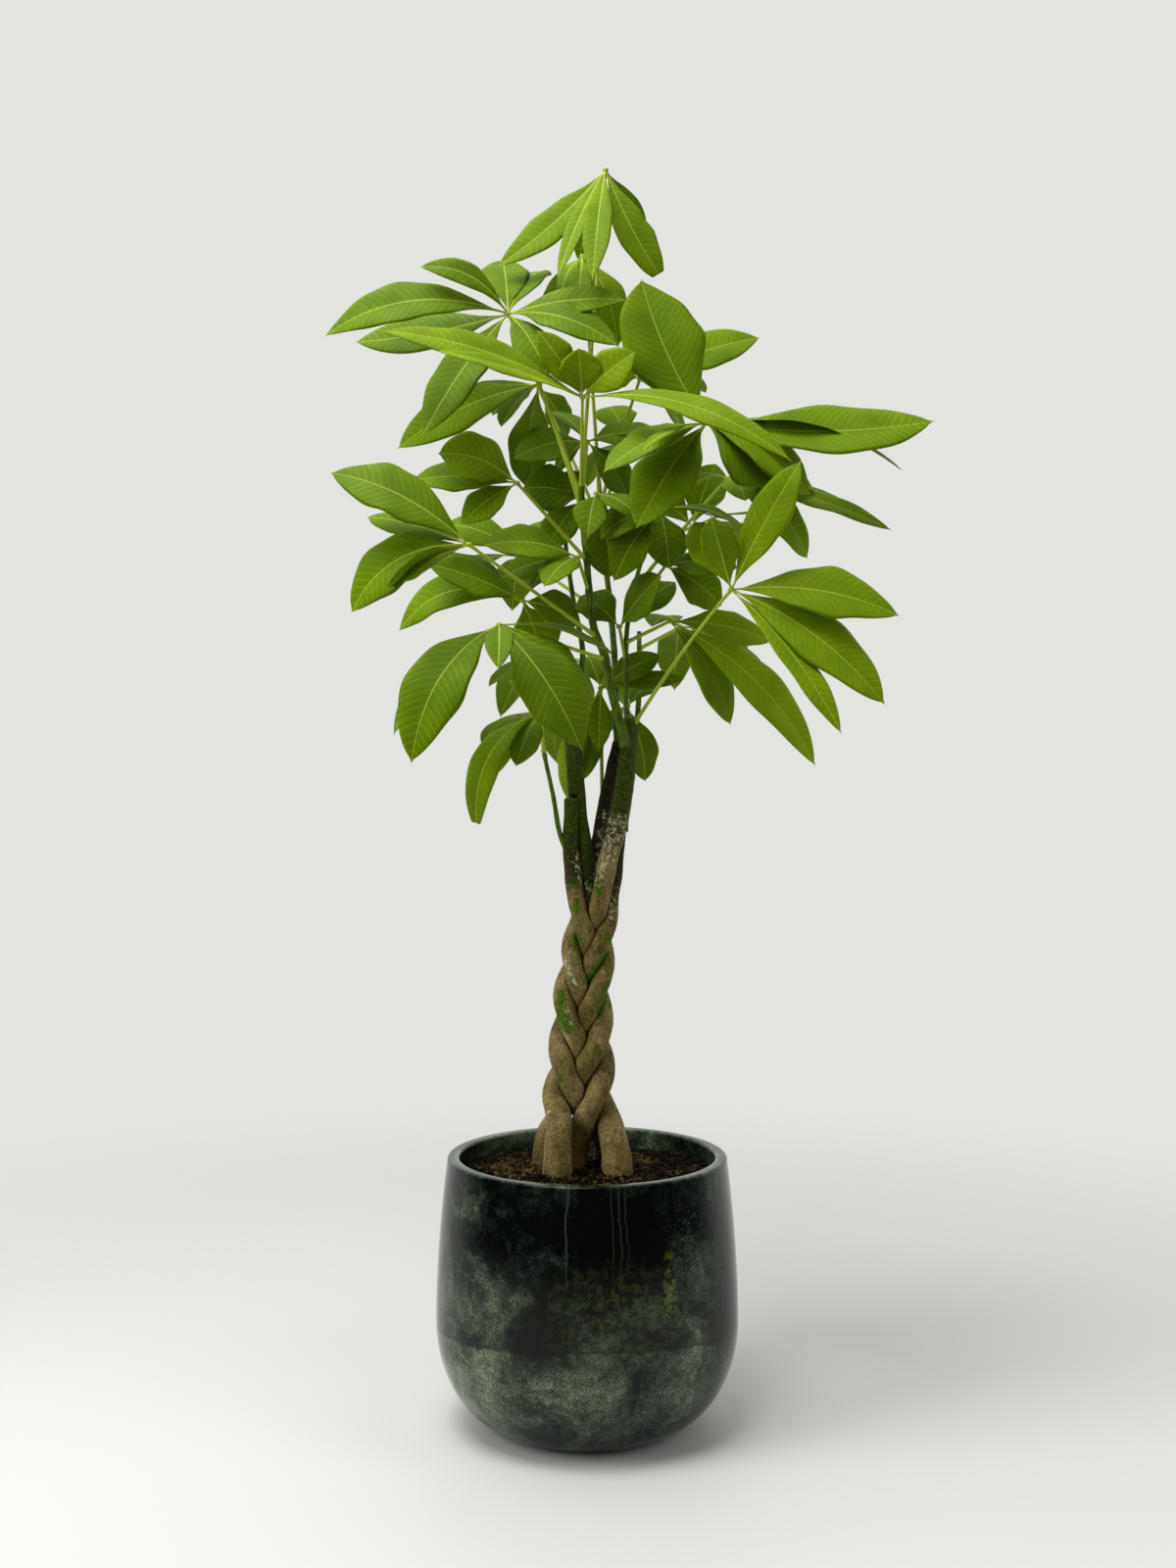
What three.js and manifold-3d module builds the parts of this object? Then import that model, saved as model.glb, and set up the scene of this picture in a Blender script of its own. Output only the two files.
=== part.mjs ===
// A potted money tree (Pachira aquatica): five pruned trunks plaited together in a glazed floor pot,
// green shoots on their cut tops, and a crown of palmate leaves on long stalks.
// Millimetres, +Z up, +X to the right and +Y to the back. The origin is the middle of the pot's foot.

import * as THREE from "three";
import { mergeVertices } from "three/addons/utils/BufferGeometryUtils.js";
import Module from "manifold-3d";

const wasm = await Module();
wasm.setup();

// ---- driving dimensions -------------------------------------------------------------------------

const SEAT_GAP = 0.35; // left between pieces that touch

const POT = {
  height: 288,
  rimRadius: 152.5,
  bellyRadius: 165,
  bellyHeight: 113,
  footRadius: 86,
  wall: 13.5,
  floor: 16,
  upperPower: 1.8, // how late the upper wall turns in towards the rim
  lip: 2.5, // rounding of the rim
  cornerWidth: 12, // rounding between the wall's inside and the floor
  cornerHeight: 8,
  outsideRows: [4, 18, 42, 74, 113, 170, 230],
  insideRows: [240, 170, 110, 60],
  sides: 32,
};

const SOIL = {
  level: 267,
  mound: 6, // rise at the trunks' feet
  moundReach: 70,
  clod: 9, // extra heap left of the trunks
  clodPlace: [-76, 8],
  clodReach: 26,
  ripples: [1.6, 1.2], // heights of two shallow waves that cross
  wallGap: 1.2, // kept from the pot's wall below the surface
  rings: 4,
  sides: 24,
};

const PLAIT = {
  period: 278.5, // height in which a trunk comes back to the same place
  firstCrossing: 592.5, // height where the first trunk crosses the middle from the right
  splay: 58, // height in which a trunk leaves the weave for its foot
  straightness: 0.11, // how much a trunk's way across is straighter than a sine wave
  crown: 528,
  loose: 590, // above this each trunk leans its own way
  buried: 225,
  rootTip: 8, // length of the blunt end below that
  cutRise: 1, // rise of a trunk's cut top to its middle
  gap: 0.8, // between two pressed trunks
  clearAbove: 6, // height over a trunk's cut top in which its neighbours still keep off it
  sides: 9,
  step: 11,
};

// Half the weave's breadth and depth, and the plait's sideways lean, by height.
const PLAIT_BREADTH = [[300, 27], [350, 24.5], [385, 22], [440, 19.5], [470, 18.5], [505, 17.5], [560, 15]];
const PLAIT_DEPTH = [[300, 11.5], [350, 11], [440, 10], [505, 9.5], [560, 9]];
const PLAIT_LEAN = [[275, 0], [300, -5], [345, -9], [415, -6], [460, -5], [505, 0], [545, 6]];
const TRUNK_GIRTH = [
  [225, 12], [262, 18], [290, 15.5], [350, 14], [400, 13.3], [450, 12.3], [500, 11.3], [550, 10.6],
  [600, 10]];

// The trunks in the order in which they cross the middle of the weave. Each has its foot, its scale of
// girth there, the height above which it is woven, and above the plait its places as [height, x, y, radius].
const TRUNKS = [
  { name: "trunk_1", foot: [-12, 8], thick: 0.86, woven: 312,
    top: [
      [560, -9, 12, 10], [592, 1, 16, 9], [639, 14, 19, 8], [672, 20, 19, 8], [709, 28, 20, 7.5],
      [742, 35, 22, 6.5]] },
  { name: "trunk_2", foot: [32, -12], thick: 1.04, woven: 345,
    top: [
      [560, 13, -10, 11], [607, 22, -9, 11], [640, 31, -7, 10.6], [693, 41, -5, 10.2], [740, 46, -4, 9.4],
      [766, 49, -4, 7.5]] },
  { name: "trunk_3", foot: [22, 32], thick: 0.95, woven: 325,
    top: [
      [545, 26, 3, 10], [564, 26, 8, 9.6], [586, 29, 12, 9.2], [607, 31, 15, 9], [650, 36, 20, 8]] },
  { name: "trunk_4", foot: [-32, -27], thick: 0.96, woven: 362,
    top: [
      [564, 1, 4, 10], [586, 1, 3, 10], [618, -3, 2, 9.8], [661, -10, 2, 9.6], [704, -13, 3, 9.6],
      [742, -16, 4, 9]] },
  { name: "trunk_5", foot: [-45, 19], thick: 0.95, woven: 345,
    top: [
      [554, -11.5, -8, 10], [586, -15, -7, 9.4], [629, -18.5, -6, 8.8], [678, -17, -5, 8]] },
];

// Green shoots: the trunk they grow on, the way they take, and their radius at both ends.
const SHOOTS = [
  { name: "shoot_main", on: "trunk_2", radius: [5.4, 3],
    path: [
      [42, -8, 736], [35, -19, 762], [25, -23, 800], [18, -25, 834], [8, -26, 858], [3, -26, 890],
      [0, -27, 930], [-4, -28, 968], [-7, -30, 1018]] },
  { name: "shoot_right", on: "trunk_2", radius: [3.4, 2.2],
    path: [
      [45, -3, 752], [43, 7, 778], [43, 5, 812], [43, 0, 855], [51, 0, 905], [66, 6, 962]] },
  { name: "shoot_left", on: "trunk_4", radius: [4.2, 2.4],
    path: [
      [-15, 4, 734], [-15, 8, 762], [-11, 8, 800], [-5, 12, 836], [-16, 22, 900], [-26, 26, 975]] },
  { name: "shoot_back", on: "trunk_1", radius: [4.4, 2.8],
    path: [
      [35, 22, 734], [32, 29, 770], [31, 48, 830], [26, 70, 900], [18, 88, 970], [14, 96, 1035]] },
  { name: "shoot_rear", on: "trunk_3", radius: [4, 2.6],
    path: [
      [40, 20, 642], [47, 34, 680], [54, 58, 740], [60, 84, 810], [60, 100, 870]] },
  { name: "shoot_twig", on: "trunk_5", radius: [3, 2],
    path: [
      [-20, -6, 614], [-30, -10, 640], [-37, -13, 680], [-43, -17, 708], [-48, -20, 732]] },
];

// Leaves: the shoot or trunk that carries the stalk and the height where it leaves, how far the stalk
// bends up, the hub where the leaflets meet, and the leaflets. A leaflet is [x, y, z of its tip from the
// hub, width, bow of its midrib, lean of its face to the front, sideways sweep, share of its length that
// is left].
const LEAVES = [
  { name: "leaf_01", on: "shoot_main", from: 1010, lift: 10, hub: [20, 10, 1370], leaflets: [
    [58, -10, -118, 44, 5, 1.5, 6, 0.9], [-15, -88, -152, 32, 10, 0.6], [-120, -14, -112, 42, 2, 1.6, -9],
    [-52, -85, -148, 22, 8, 0.4], [-30, 90, -75, 34, 12, 0], [45, 70, -70, 34, 12, 0]] },
  { name: "leaf_02", on: "shoot_back", from: 1025, lift: 10, hub: [-5, 70, 1295], leaflets: [
    [-25, -30, -55, 24, 8, 0.2], [-5, -70, -90, 28, 8, 0.4], [40, -10, -110, 46, 22, 0.9],
    [-40, 60, -65, 40, 14, 0], [10, 110, -50, 40, 14, 0]] },
  { name: "leaf_03", on: "shoot_main", from: 1002, lift: 10, hub: [-85, -30, 1200], leaflets: [
    [-95, -30, 40, 34, 15, 1.5, 8], [-12, 100, 90, 54, 10, 0], [35, 90, 75, 54, 10, 0],
    [130, -20, 8, 44, 8, 1.3], [120, -40, -48, 50, 16, 1.2], [45, -38, -80, 44, 10, 1],
    [-200, -10, -30, 58, 32, 1.3], [-88, -60, -148, 54, 10, 1], [-172, 25, -24, 58, -6, 1.3]] },
  { name: "leaf_04", on: "shoot_main", from: 1012, lift: 0, hub: [-5, -70, 1100], leaflets: [
    [-208, -56, 54, 46, 16, 1.1], [-150, -90, 25, 38, 6, 0.9], [-48, -20, 66, 38, 6, 3],
    [-4, -25, 46, 46, 4, 3], [56, -30, 40, 46, 6, 3], [215, -75, -86, 44, 30, 1]] },
  { name: "leaf_05", on: "shoot_right", from: 957, lift: 10, hub: [125, -60, 1075], leaflets: [
    [-68, 10, 158, 90, 6, 1.6, -10], [247, 0, 3, 78, -6, 1.5, 8], [220, 40, -45, 50, 24, 0.3],
    [115, 20, -75, 74, 18, 1.2], [88, 8, -62, 82, 8, 2.2], [-110, -60, -65, 54, 12, 0.9],
    [-70, -100, -50, 26, 8, 0.2], [-75, -40, -120, 72, 10, 1.1]] },
  { name: "leaf_06", on: "shoot_back", from: 1015, lift: 5, hub: [60, 70, 1155], leaflets: [
    [140, 10, 50, 54, 9, 1.6], [25, 30, 105, 46, 8, 0.6], [-48, -14, 8, 56, 6, 1.8],
    [50, 20, -75, 44, 14, 0.4], [85, 110, 10, 44, 12, 0.2]] },
  { name: "leaf_07", on: "shoot_main", from: 985, lift: 5, hub: [-52, -15, 1128], leaflets: [
    [-156, -5, -74, 62, 8, 1.4, 8], [-6, 90, -105, 62, 12, 0.8], [-45, 60, -35, 36, 8, 0.5]] },
  { name: "leaf_08", on: "shoot_main", from: 995, lift: 0, hub: [0, 30, 1075], leaflets: [
    [-82, -30, -26, 54, 10, 1.5], [66, 10, 4, 50, 10, 1.4], [95, 30, 15, 44, 10, 0.6],
    [-45, 70, 50, 40, 8, 0.2], [-38, 25, -32, 42, 6, 1], [46, 10, -62, 52, 8, 0.9]] },
  { name: "leaf_09", on: "shoot_back", from: 1000, lift: 0, hub: [45, 120, 1095], leaflets: [
    [75, 60, 25, 44, 10, 0.2], [-20, 50, 52, 50, 10, 1.1], [-45, 60, -45, 44, 16, 0.2]] },
  { name: "leaf_10", on: "shoot_main", from: 935, lift: 0, hub: [-75, -42, 1015], leaflets: [
    [-84, -25, 26, 64, 6, 2.4, 8], [-114, -10, 0, 50, 8, 1.3], [-60, -5, -46, 42, 6, 1.3]] },
  { name: "leaf_11", on: "shoot_left", from: 968, lift: 0, hub: [-5, 26, 1010], leaflets: [
    [-68, -16, 8, 62, 10, 1.8], [-40, -10, -60, 52, 8, 1], [40, 45, -30, 46, 8, 0.5],
    [-26, -4, 28, 40, 4, 1.5]] },
  { name: "leaf_12", on: "shoot_main", from: 955, lift: 0, hub: [10, -35, 1005], leaflets: [
    [46, -40, -35, 38, 8, 0.8], [-10, -40, -55, 38, 10, 0.8], [14, 34, -88, 54, 10, 0.8]] },
  { name: "leaf_13", on: "shoot_main", from: 900, lift: 0, hub: [-10, -45, 935], leaflets: [
    [-100, -40, 6, 58, 12, 1.1], [-82, 6, -22, 50, 8, 1.1], [-35, -60, -40, 40, 8, 0.8]] },
  { name: "leaf_14", on: "shoot_right", from: 905, lift: 6, hub: [155, 10, 1030], leaflets: [
    [180, -20, -62, 40, 9, 0.9], [135, 30, -20, 26, 8, 0.2], [92, 30, -86, 50, 26, 2],
    [15, -50, -35, 40, 8, 0.7], [95, -10, -15, 58, 14, 1.1], [-40, 40, -5, 36, 10, 0.2]] },
  { name: "leaf_15", on: "shoot_right", from: 938, lift: 0, hub: [78, -40, 988], leaflets: [
    [95, 0, -25, 32, 12, 0.5], [60, 20, -6, 40, 4, 0.4], [-65, -10, -35, 54, 10, 1],
    [-50, -5, -80, 48, 10, 1], [10, 0, -66, 48, 8, 1.2]] },
  { name: "leaf_16", on: "shoot_main", from: 852, lift: 0, hub: [-120, -135, 935], leaflets: [
    [-143, 0, 73, 66, 16, 1.3, 3], [-120, 0, -72, 64, 24, 1.4, 10], [-110, 40, 35, 48, 6, 1.1],
    [-80, -40, -50, 34, 6, -0.6]] },
  { name: "leaf_17", on: "shoot_left", from: 815, lift: 0, hub: [-70, -38, 890], leaflets: [
    [-100, -30, 35, 52, 6, 1.3], [-135, 10, -35, 54, 30, 1.2, 10], [-100, 20, 55, 40, 10, 0.5],
    [22, 14, -62, 58, 8, 1.4], [62, 26, -22, 52, 8, 1.8], [50, 20, 45, 40, 8, 0.3]] },
  { name: "leaf_18", on: "shoot_main", from: 828, lift: 0, hub: [-90, -120, 855], leaflets: [
    [-85, -50, -146, 70, 33, 1, 7], [-110, 10, -116, 40, 24, 0.6], [5, -110, -55, 30, 10, -0.8],
    [85, -20, -130, 68, 20, 1.1], [120, 40, -30, 40, 14, 0], [95, 20, -90, 58, 16, 0.8]] },
  { name: "leaf_19", on: "shoot_twig", from: 728, lift: 0, hub: [-50, -50, 770], leaflets: [
    [-67, -20, -118, 40, 36, 0.8, 5, 0.92], [-25, -30, -60, 38, 8, 1], [-30, 50, 40, 34, 8, 0.4],
    [15, 35, -30, 32, 10, 0.4]] },
  { name: "leaf_20", on: "shoot_right", from: 880, lift: 0, hub: [85, -20, 930], leaflets: [
    [78, -20, -6, 48, 8, 1.3], [62, 10, -44, 58, 8, 1.8], [45, 75, 20, 40, 8, 0.3]] },
  { name: "leaf_21", on: "shoot_right", from: 825, lift: 0, hub: [35, -5, 865], leaflets: [
    [45, -50, 50, 56, 4, 1.4], [65, 40, 55, 44, 6, 0.8], [-44, 20, 36, 52, 8, 1.6]] },
  { name: "leaf_22", on: "trunk_2", from: 752, lift: 12, hub: [150, -90, 895], leaflets: [
    [-25, -40, 70, 40, 6, -1.2], [70, -30, 130, 52, 6, 1.1], [174, -20, -31, 68, 18, 1.2],
    [155, -40, -125, 70, 20, 1], [104, -80, -157, 38, 16, 0.8], [-35, 50, 80, 54, 8, 1.2]] },
  { name: "leaf_23", on: "shoot_right", from: 848, lift: 0, hub: [90, -15, 870], leaflets: [
    [161, 10, -161, 58, 28, 0.9], [68, 20, -114, 50, 16, 0.9], [115, 30, -20, 48, 10, 1.4]] },
  { name: "leaf_24", on: "trunk_1", from: 655, lift: 0, hub: [15, 24, 800], leaflets: [
    [-15, 50, 40, 30, 4, 0.8], [95, 4, 10, 26, 6, 1.5], [68, 8, 38, 36, 6, 1.5],
    [-20, 10, -105, 38, 10, 0.7], [-2, -22, -72, 28, 8, 0.5], [-35, 46, -130, 42, 20, 0.7]] },
  { name: "leaf_25", on: "shoot_rear", from: 700, lift: 0, hub: [45, 35, 780], leaflets: [
    [20, 10, -85, 40, 14, 0.8], [-30, 60, -40, 36, 12, 0.3], [35, 60, 25, 36, 8, 0.3]] },
  { name: "leaf_26", on: "shoot_back", from: 990, lift: 10, hub: [-60, 140, 1165], leaflets: [
    [-110, 60, -20, 48, 16, 0], [-60, 120, -10, 50, 18, 0], [34, 40, -58, 54, 10, 1.1],
    [80, 90, 30, 46, 12, 0]] },
  { name: "leaf_27", on: "shoot_back", from: 940, lift: 0, hub: [125, 150, 1000], leaflets: [
    [120, 40, 10, 46, 14, 0], [90, 110, -20, 50, 18, 0], [30, 20, 80, 56, 8, 1.3],
    [-60, 30, 46, 54, 10, 1.2]] },
  { name: "leaf_28", on: "shoot_back", from: 880, lift: 0, hub: [-75, 130, 960], leaflets: [
    [-100, 10, 40, 52, 14, 0.9], [-100, 90, -30, 50, 20, 0], [-20, 140, -50, 52, 22, 0],
    [50, 60, 52, 50, 10, 0.9]] },
  { name: "leaf_29", on: "shoot_rear", from: 850, lift: 0, hub: [110, 140, 880], leaflets: [
    [110, 40, -60, 48, 18, 0.2], [90, 110, -60, 52, 24, 0], [0, 130, -70, 50, 22, 0],
    [-30, 110, 10, 44, 14, 0]] },
  { name: "leaf_30", on: "shoot_rear", from: 820, lift: 0, hub: [-30, 150, 845], leaflets: [
    [-92, 50, -34, 44, 14, 0], [-80, 110, -70, 52, 26, 0], [20, 120, -90, 50, 24, 0],
    [80, 70, -60, 44, 18, 0]] },
  { name: "leaf_31", on: "shoot_twig", from: 722, lift: 0, hub: [-55, 60, 775], leaflets: [
    [-70, 62, -36, 40, 12, 0.2], [-50, 100, -70, 44, 24, 0], [20, 110, -60, 42, 20, 0]] },
];

const BLADE = {
  thickness: 0.9,
  start: 3, // from the hub to the leaflet's base
  fold: 0.2, // how steeply both halves rise from the midrib, radians
  wave: 0.035, // height of the waved edge against the leaflet's width
  waveTurn: 2.1, // radians from one station's wave to the next one's
  shoulder: 1.22, // above 1 the widest place lies past the middle
  fullness: 0.8, // below 1 the outline is fuller than a sine wave
  stations: [0.26, 0.54, 0.81],
  longStations: [0.2, 0.41, 0.63, 0.84],
  longFrom: 170, // a longer leaflet gets the longer row of stations
};
const STALK = { foot: 2.1, head: 1.8, knob: 5.4, sides: 4, steps: 2 };
const SHOOT_SIDES = 5;
const TABLE_EASE = 0.35; // share of a smooth step in the blend between two rows of a table

// ---- plain helpers ------------------------------------------------------------------------------

const vec = (a) => new THREE.Vector3(a[0], a[1], a[2]);

// Reads a height from a short table by smooth blending between its rows.
function readTable(rows, z) {
  if (z <= rows[0][0]) return rows[0].slice(1);
  const last = rows[rows.length - 1];
  if (z >= last[0]) return last.slice(1);
  const i = rows.findIndex((row) => row[0] > z);
  const [a, b] = [rows[i - 1], rows[i]];
  const straight = (z - a[0]) / (b[0] - a[0]);
  const t = THREE.MathUtils.lerp(straight, THREE.MathUtils.smoothstep(z, a[0], b[0]), TABLE_EASE);
  return a.slice(1).map((value, k) => THREE.MathUtils.lerp(value, b[k + 1], t));
}

const readValue = (rows, z) => readTable(rows, z)[0];

// A closed mesh from points and triangles.
function solidFrom(points, triangles) {
  const geometry = new THREE.BufferGeometry();
  const numbers = points.flatMap((p) => [p.x, p.y, p.z]);
  geometry.setAttribute("position", new THREE.Float32BufferAttribute(numbers, 3));
  geometry.setIndex(triangles.flat());
  return geometry;
}

function toManifold(geometry) {
  const bare = geometry.clone();
  bare.deleteAttribute("normal");
  bare.deleteAttribute("uv");
  const merged = mergeVertices(bare, 1e-4);
  const mesh = new wasm.Mesh({
    numProp: 3,
    vertProperties: new Float32Array(merged.getAttribute("position").array),
    triVerts: new Uint32Array(merged.getIndex().array),
  });
  return new wasm.Manifold(mesh);
}

function toGeometry(manifold) {
  const mesh = manifold.getMesh();
  const geometry = new THREE.BufferGeometry();
  geometry.setAttribute("position", new THREE.BufferAttribute(mesh.vertProperties.slice(), 3));
  geometry.setIndex(new THREE.BufferAttribute(mesh.triVerts.slice(), 1));
  return geometry;
}

// Rings of points, one above the other, closed by a fan at each end.
function skin(rings, lowPoint, highPoint) {
  const n = rings[0].length;
  const points = [...rings.flat(), lowPoint, highPoint];
  const triangles = [];
  for (let r = 0; r + 1 < rings.length; r++) {
    for (let k = 0; k < n; k++) {
      const [a, b] = [r * n + k, r * n + ((k + 1) % n)];
      triangles.push([a, b, b + n], [a, b + n, a + n]);
    }
  }
  const [low, high, top] = [rings.length * n, rings.length * n + 1, (rings.length - 1) * n];
  for (let k = 0; k < n; k++) {
    const next = (k + 1) % n;
    triangles.push([low, next, k], [high, top + k, top + next]);
  }
  return solidFrom(points, triangles);
}

// A round tube that narrows along a curve.
function tube(curve, steps, sides, startRadius, endRadius) {
  const frames = curve.computeFrenetFrames(steps, false);
  const rings = [];
  for (let i = 0; i <= steps; i++) {
    const centre = curve.getPointAt(i / steps);
    const radius = THREE.MathUtils.lerp(startRadius, endRadius, i / steps);
    rings.push([...Array(sides).keys()].map((k) => {
      const angle = (k / sides) * 2 * Math.PI;
      return centre.clone()
        .addScaledVector(frames.normals[i], radius * Math.cos(angle))
        .addScaledVector(frames.binormals[i], radius * Math.sin(angle));
    }));
  }
  return skin(rings, curve.getPointAt(0), curve.getPointAt(1));
}

// ---- pot and soil -------------------------------------------------------------------------------

// Radius of the pot's outside at a height: a quarter of an ellipse under the belly, a slow curve above.
function potRadius(z) {
  if (z <= POT.bellyHeight) {
    const rise = 1 - z / POT.bellyHeight;
    return POT.footRadius + (POT.bellyRadius - POT.footRadius) * Math.sqrt(Math.max(0, 1 - rise * rise));
  }
  const climb = (z - POT.bellyHeight) / (POT.height - POT.bellyHeight);
  return POT.bellyRadius - (POT.bellyRadius - POT.rimRadius) * climb ** POT.upperPower;
}

const potInside = (z) => potRadius(z) - POT.wall;

function potGeometry() {
  const top = POT.height - POT.lip;
  const corner = POT.floor + POT.cornerHeight;
  const profile = [
    new THREE.Vector2(0, 0),
    new THREE.Vector2(POT.footRadius, 0),
    ...[...POT.outsideRows, top].map((z) => new THREE.Vector2(potRadius(z), z)),
    new THREE.Vector2(potRadius(POT.height) - POT.lip, POT.height),
    new THREE.Vector2(potInside(POT.height) + POT.lip, POT.height),
    ...[top, ...POT.insideRows, corner].map((z) => new THREE.Vector2(potInside(z), z)),
    new THREE.Vector2(potInside(corner) - POT.cornerWidth, POT.floor),
    new THREE.Vector2(0, POT.floor),
  ];
  return new THREE.LatheGeometry(profile, POT.sides).rotateX(Math.PI / 2);
}

function soilHeight(x, y) {
  const toTrunks = Math.hypot(x, y) / SOIL.moundReach;
  const toClod = Math.hypot(x - SOIL.clodPlace[0], y - SOIL.clodPlace[1]) / SOIL.clodReach;
  const heaps = SOIL.mound * Math.exp(-toTrunks * toTrunks) + SOIL.clod * Math.exp(-toClod * toClod);
  const ripples = SOIL.ripples[0] * Math.sin(x / 17 + 1) * Math.cos(y / 21)
    + SOIL.ripples[1] * Math.sin((x + 2 * y) / 29);
  return SOIL.level + heaps + ripples;
}

// The soil fills the pot below its surface, a little inside the flats of the pot's faceted wall.
function soilGeometry() {
  const inner = (z) => (potInside(z) - SEAT_GAP) * Math.cos(Math.PI / POT.sides) - SEAT_GAP;
  const circle = (radius, height) => [...Array(SOIL.sides).keys()].map((k) => {
    const angle = (k / SOIL.sides) * 2 * Math.PI;
    const [x, y] = [radius * Math.cos(angle), radius * Math.sin(angle)];
    return new THREE.Vector3(x, y, height ?? soilHeight(x, y));
  });
  const bottom = POT.floor + 2 * SEAT_GAP;
  const corner = POT.floor + POT.cornerHeight;
  const wallRows = [corner + SOIL.wallGap, ...POT.insideRows.filter((z) => z < PLAIT.buried).reverse()];
  const rings = [
    circle(inner(corner) - POT.cornerWidth - SOIL.wallGap, bottom),
    ...wallRows.map((z) => circle(inner(z) - SOIL.wallGap, z)),
  ];
  const edge = inner(SOIL.level) - SEAT_GAP;
  for (let r = SOIL.rings; r >= 1; r--) rings.push(circle((edge * r) / SOIL.rings));
  return skin(rings, new THREE.Vector3(0, 0, bottom), new THREE.Vector3(0, 0, soilHeight(0, 0)));
}

// ---- plaited trunks -----------------------------------------------------------------------------

// Where the middle of a trunk is at a height, and how thick the trunk is there. In the weave a trunk
// swings from side to side once in a period, and passes in front on its way in, behind on its way out.
function trunkPlace(index, z) {
  const { foot, thick, woven, top } = TRUNKS[index];
  const crossing = PLAIT.firstCrossing - (index * PLAIT.period) / TRUNKS.length;
  const phase = Math.PI / 2 + (2 * Math.PI * (crossing - z)) / PLAIT.period;
  const swing = Math.cos(phase) + PLAIT.straightness * Math.cos(3 * phase);
  const weave = [
    readValue(PLAIT_LEAN, z) + readValue(PLAIT_BREADTH, z) * swing,
    -readValue(PLAIT_DEPTH, z) * Math.sin(2 * phase),
  ];
  const standing = 1 - THREE.MathUtils.smoothstep(z, woven - PLAIT.splay, woven);
  const loose = THREE.MathUtils.smoothstep(z, PLAIT.crown, PLAIT.loose);
  const [topX, topY, topRadius] = readTable(top, z);
  const girth = readValue(TRUNK_GIRTH, z) * THREE.MathUtils.lerp(1, thick, standing);
  const { lerp } = THREE.MathUtils;
  return {
    x: lerp(lerp(weave[0], foot[0], standing), topX, loose),
    y: lerp(lerp(weave[1], foot[1], standing), topY, loose),
    radius: lerp(girth, topRadius, loose),
  };
}

const trunkTop = (index) => TRUNKS[index].top[TRUNKS[index].top.length - 1][0];

// The flat walls that press a trunk at a height, as seen from its middle: one halfway to each other
// trunk, shifted towards the thinner one.
function trunkWalls(index, z) {
  const own = trunkPlace(index, z);
  const near = (other) => other !== index && z < trunkTop(other) + PLAIT.clearAbove;
  return [...TRUNKS.keys()].filter(near).map((other) => {
    const its = trunkPlace(other, z);
    const [dx, dy] = [its.x - own.x, its.y - own.y];
    const apart = Math.hypot(dx, dy);
    const share = (apart * apart + own.radius ** 2 - its.radius ** 2) / (2 * apart);
    return { angle: Math.atan2(dy, dx), reach: share - PLAIT.gap / 2 };
  });
}

// A level section of a trunk: a circle, cut by the walls that hold for half a step up and down.
function trunkSection(index, z, sides, grow) {
  const own = trunkPlace(index, z);
  const near = [-0.5, 0, 0.5].flatMap((share) => trunkWalls(index, z + share * PLAIT.step));
  return [...Array(sides).keys()].map((k) => {
    const angle = (k / sides) * 2 * Math.PI;
    const cuts = near
      .map((wall) => ({ reach: wall.reach, facing: Math.cos(angle - wall.angle) }))
      .filter((wall) => wall.facing > 0.05)
      .map((wall) => wall.reach / wall.facing);
    const reach = Math.min(own.radius, ...cuts) + grow;
    return new THREE.Vector3(own.x + reach * Math.cos(angle), own.y + reach * Math.sin(angle), z);
  });
}

function trunkGeometry(index, grow = 0) {
  const top = trunkTop(index);
  const steps = Math.round((top - PLAIT.buried) / PLAIT.step);
  const rings = [...Array(steps + 1).keys()].map((i) => {
    const z = THREE.MathUtils.lerp(PLAIT.buried, top, i / steps);
    return trunkSection(index, z, PLAIT.sides, grow);
  });
  const [low, high] = [trunkPlace(index, PLAIT.buried), trunkPlace(index, top)];
  return skin(rings,
    new THREE.Vector3(low.x, low.y, PLAIT.buried - PLAIT.rootTip - grow),
    new THREE.Vector3(high.x, high.y, top + PLAIT.cutRise + grow));
}

// ---- shoots and leaves --------------------------------------------------------------------------

function shootCurve(shoot) {
  return new THREE.CatmullRomCurve3(shoot.path.map(vec), false, "centripetal");
}

function shootGeometry(shoot, grow = 0) {
  const [low, high] = shoot.radius;
  return tube(shootCurve(shoot), shoot.path.length + 1, SHOOT_SIDES, low + grow, high + grow);
}

// The middle of a shoot or trunk at a height.
function carrierPoint(name, z) {
  const index = TRUNKS.findIndex((trunk) => trunk.name === name);
  if (index >= 0) {
    const place = trunkPlace(index, z);
    return new THREE.Vector3(place.x, place.y, z);
  }
  const points = shootCurve(SHOOTS.find((shoot) => shoot.name === name)).getPoints(200);
  return points.reduce((best, p) => (Math.abs(p.z - z) < Math.abs(best.z - z) ? p : best));
}

// Half the width of a leaflet at a share of its length: full shoulders past the middle, a narrower base.
function halfWidth(t, width) {
  return (width / 2) * Math.sin(Math.PI * t ** BLADE.shoulder) ** BLADE.fullness;
}

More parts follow.
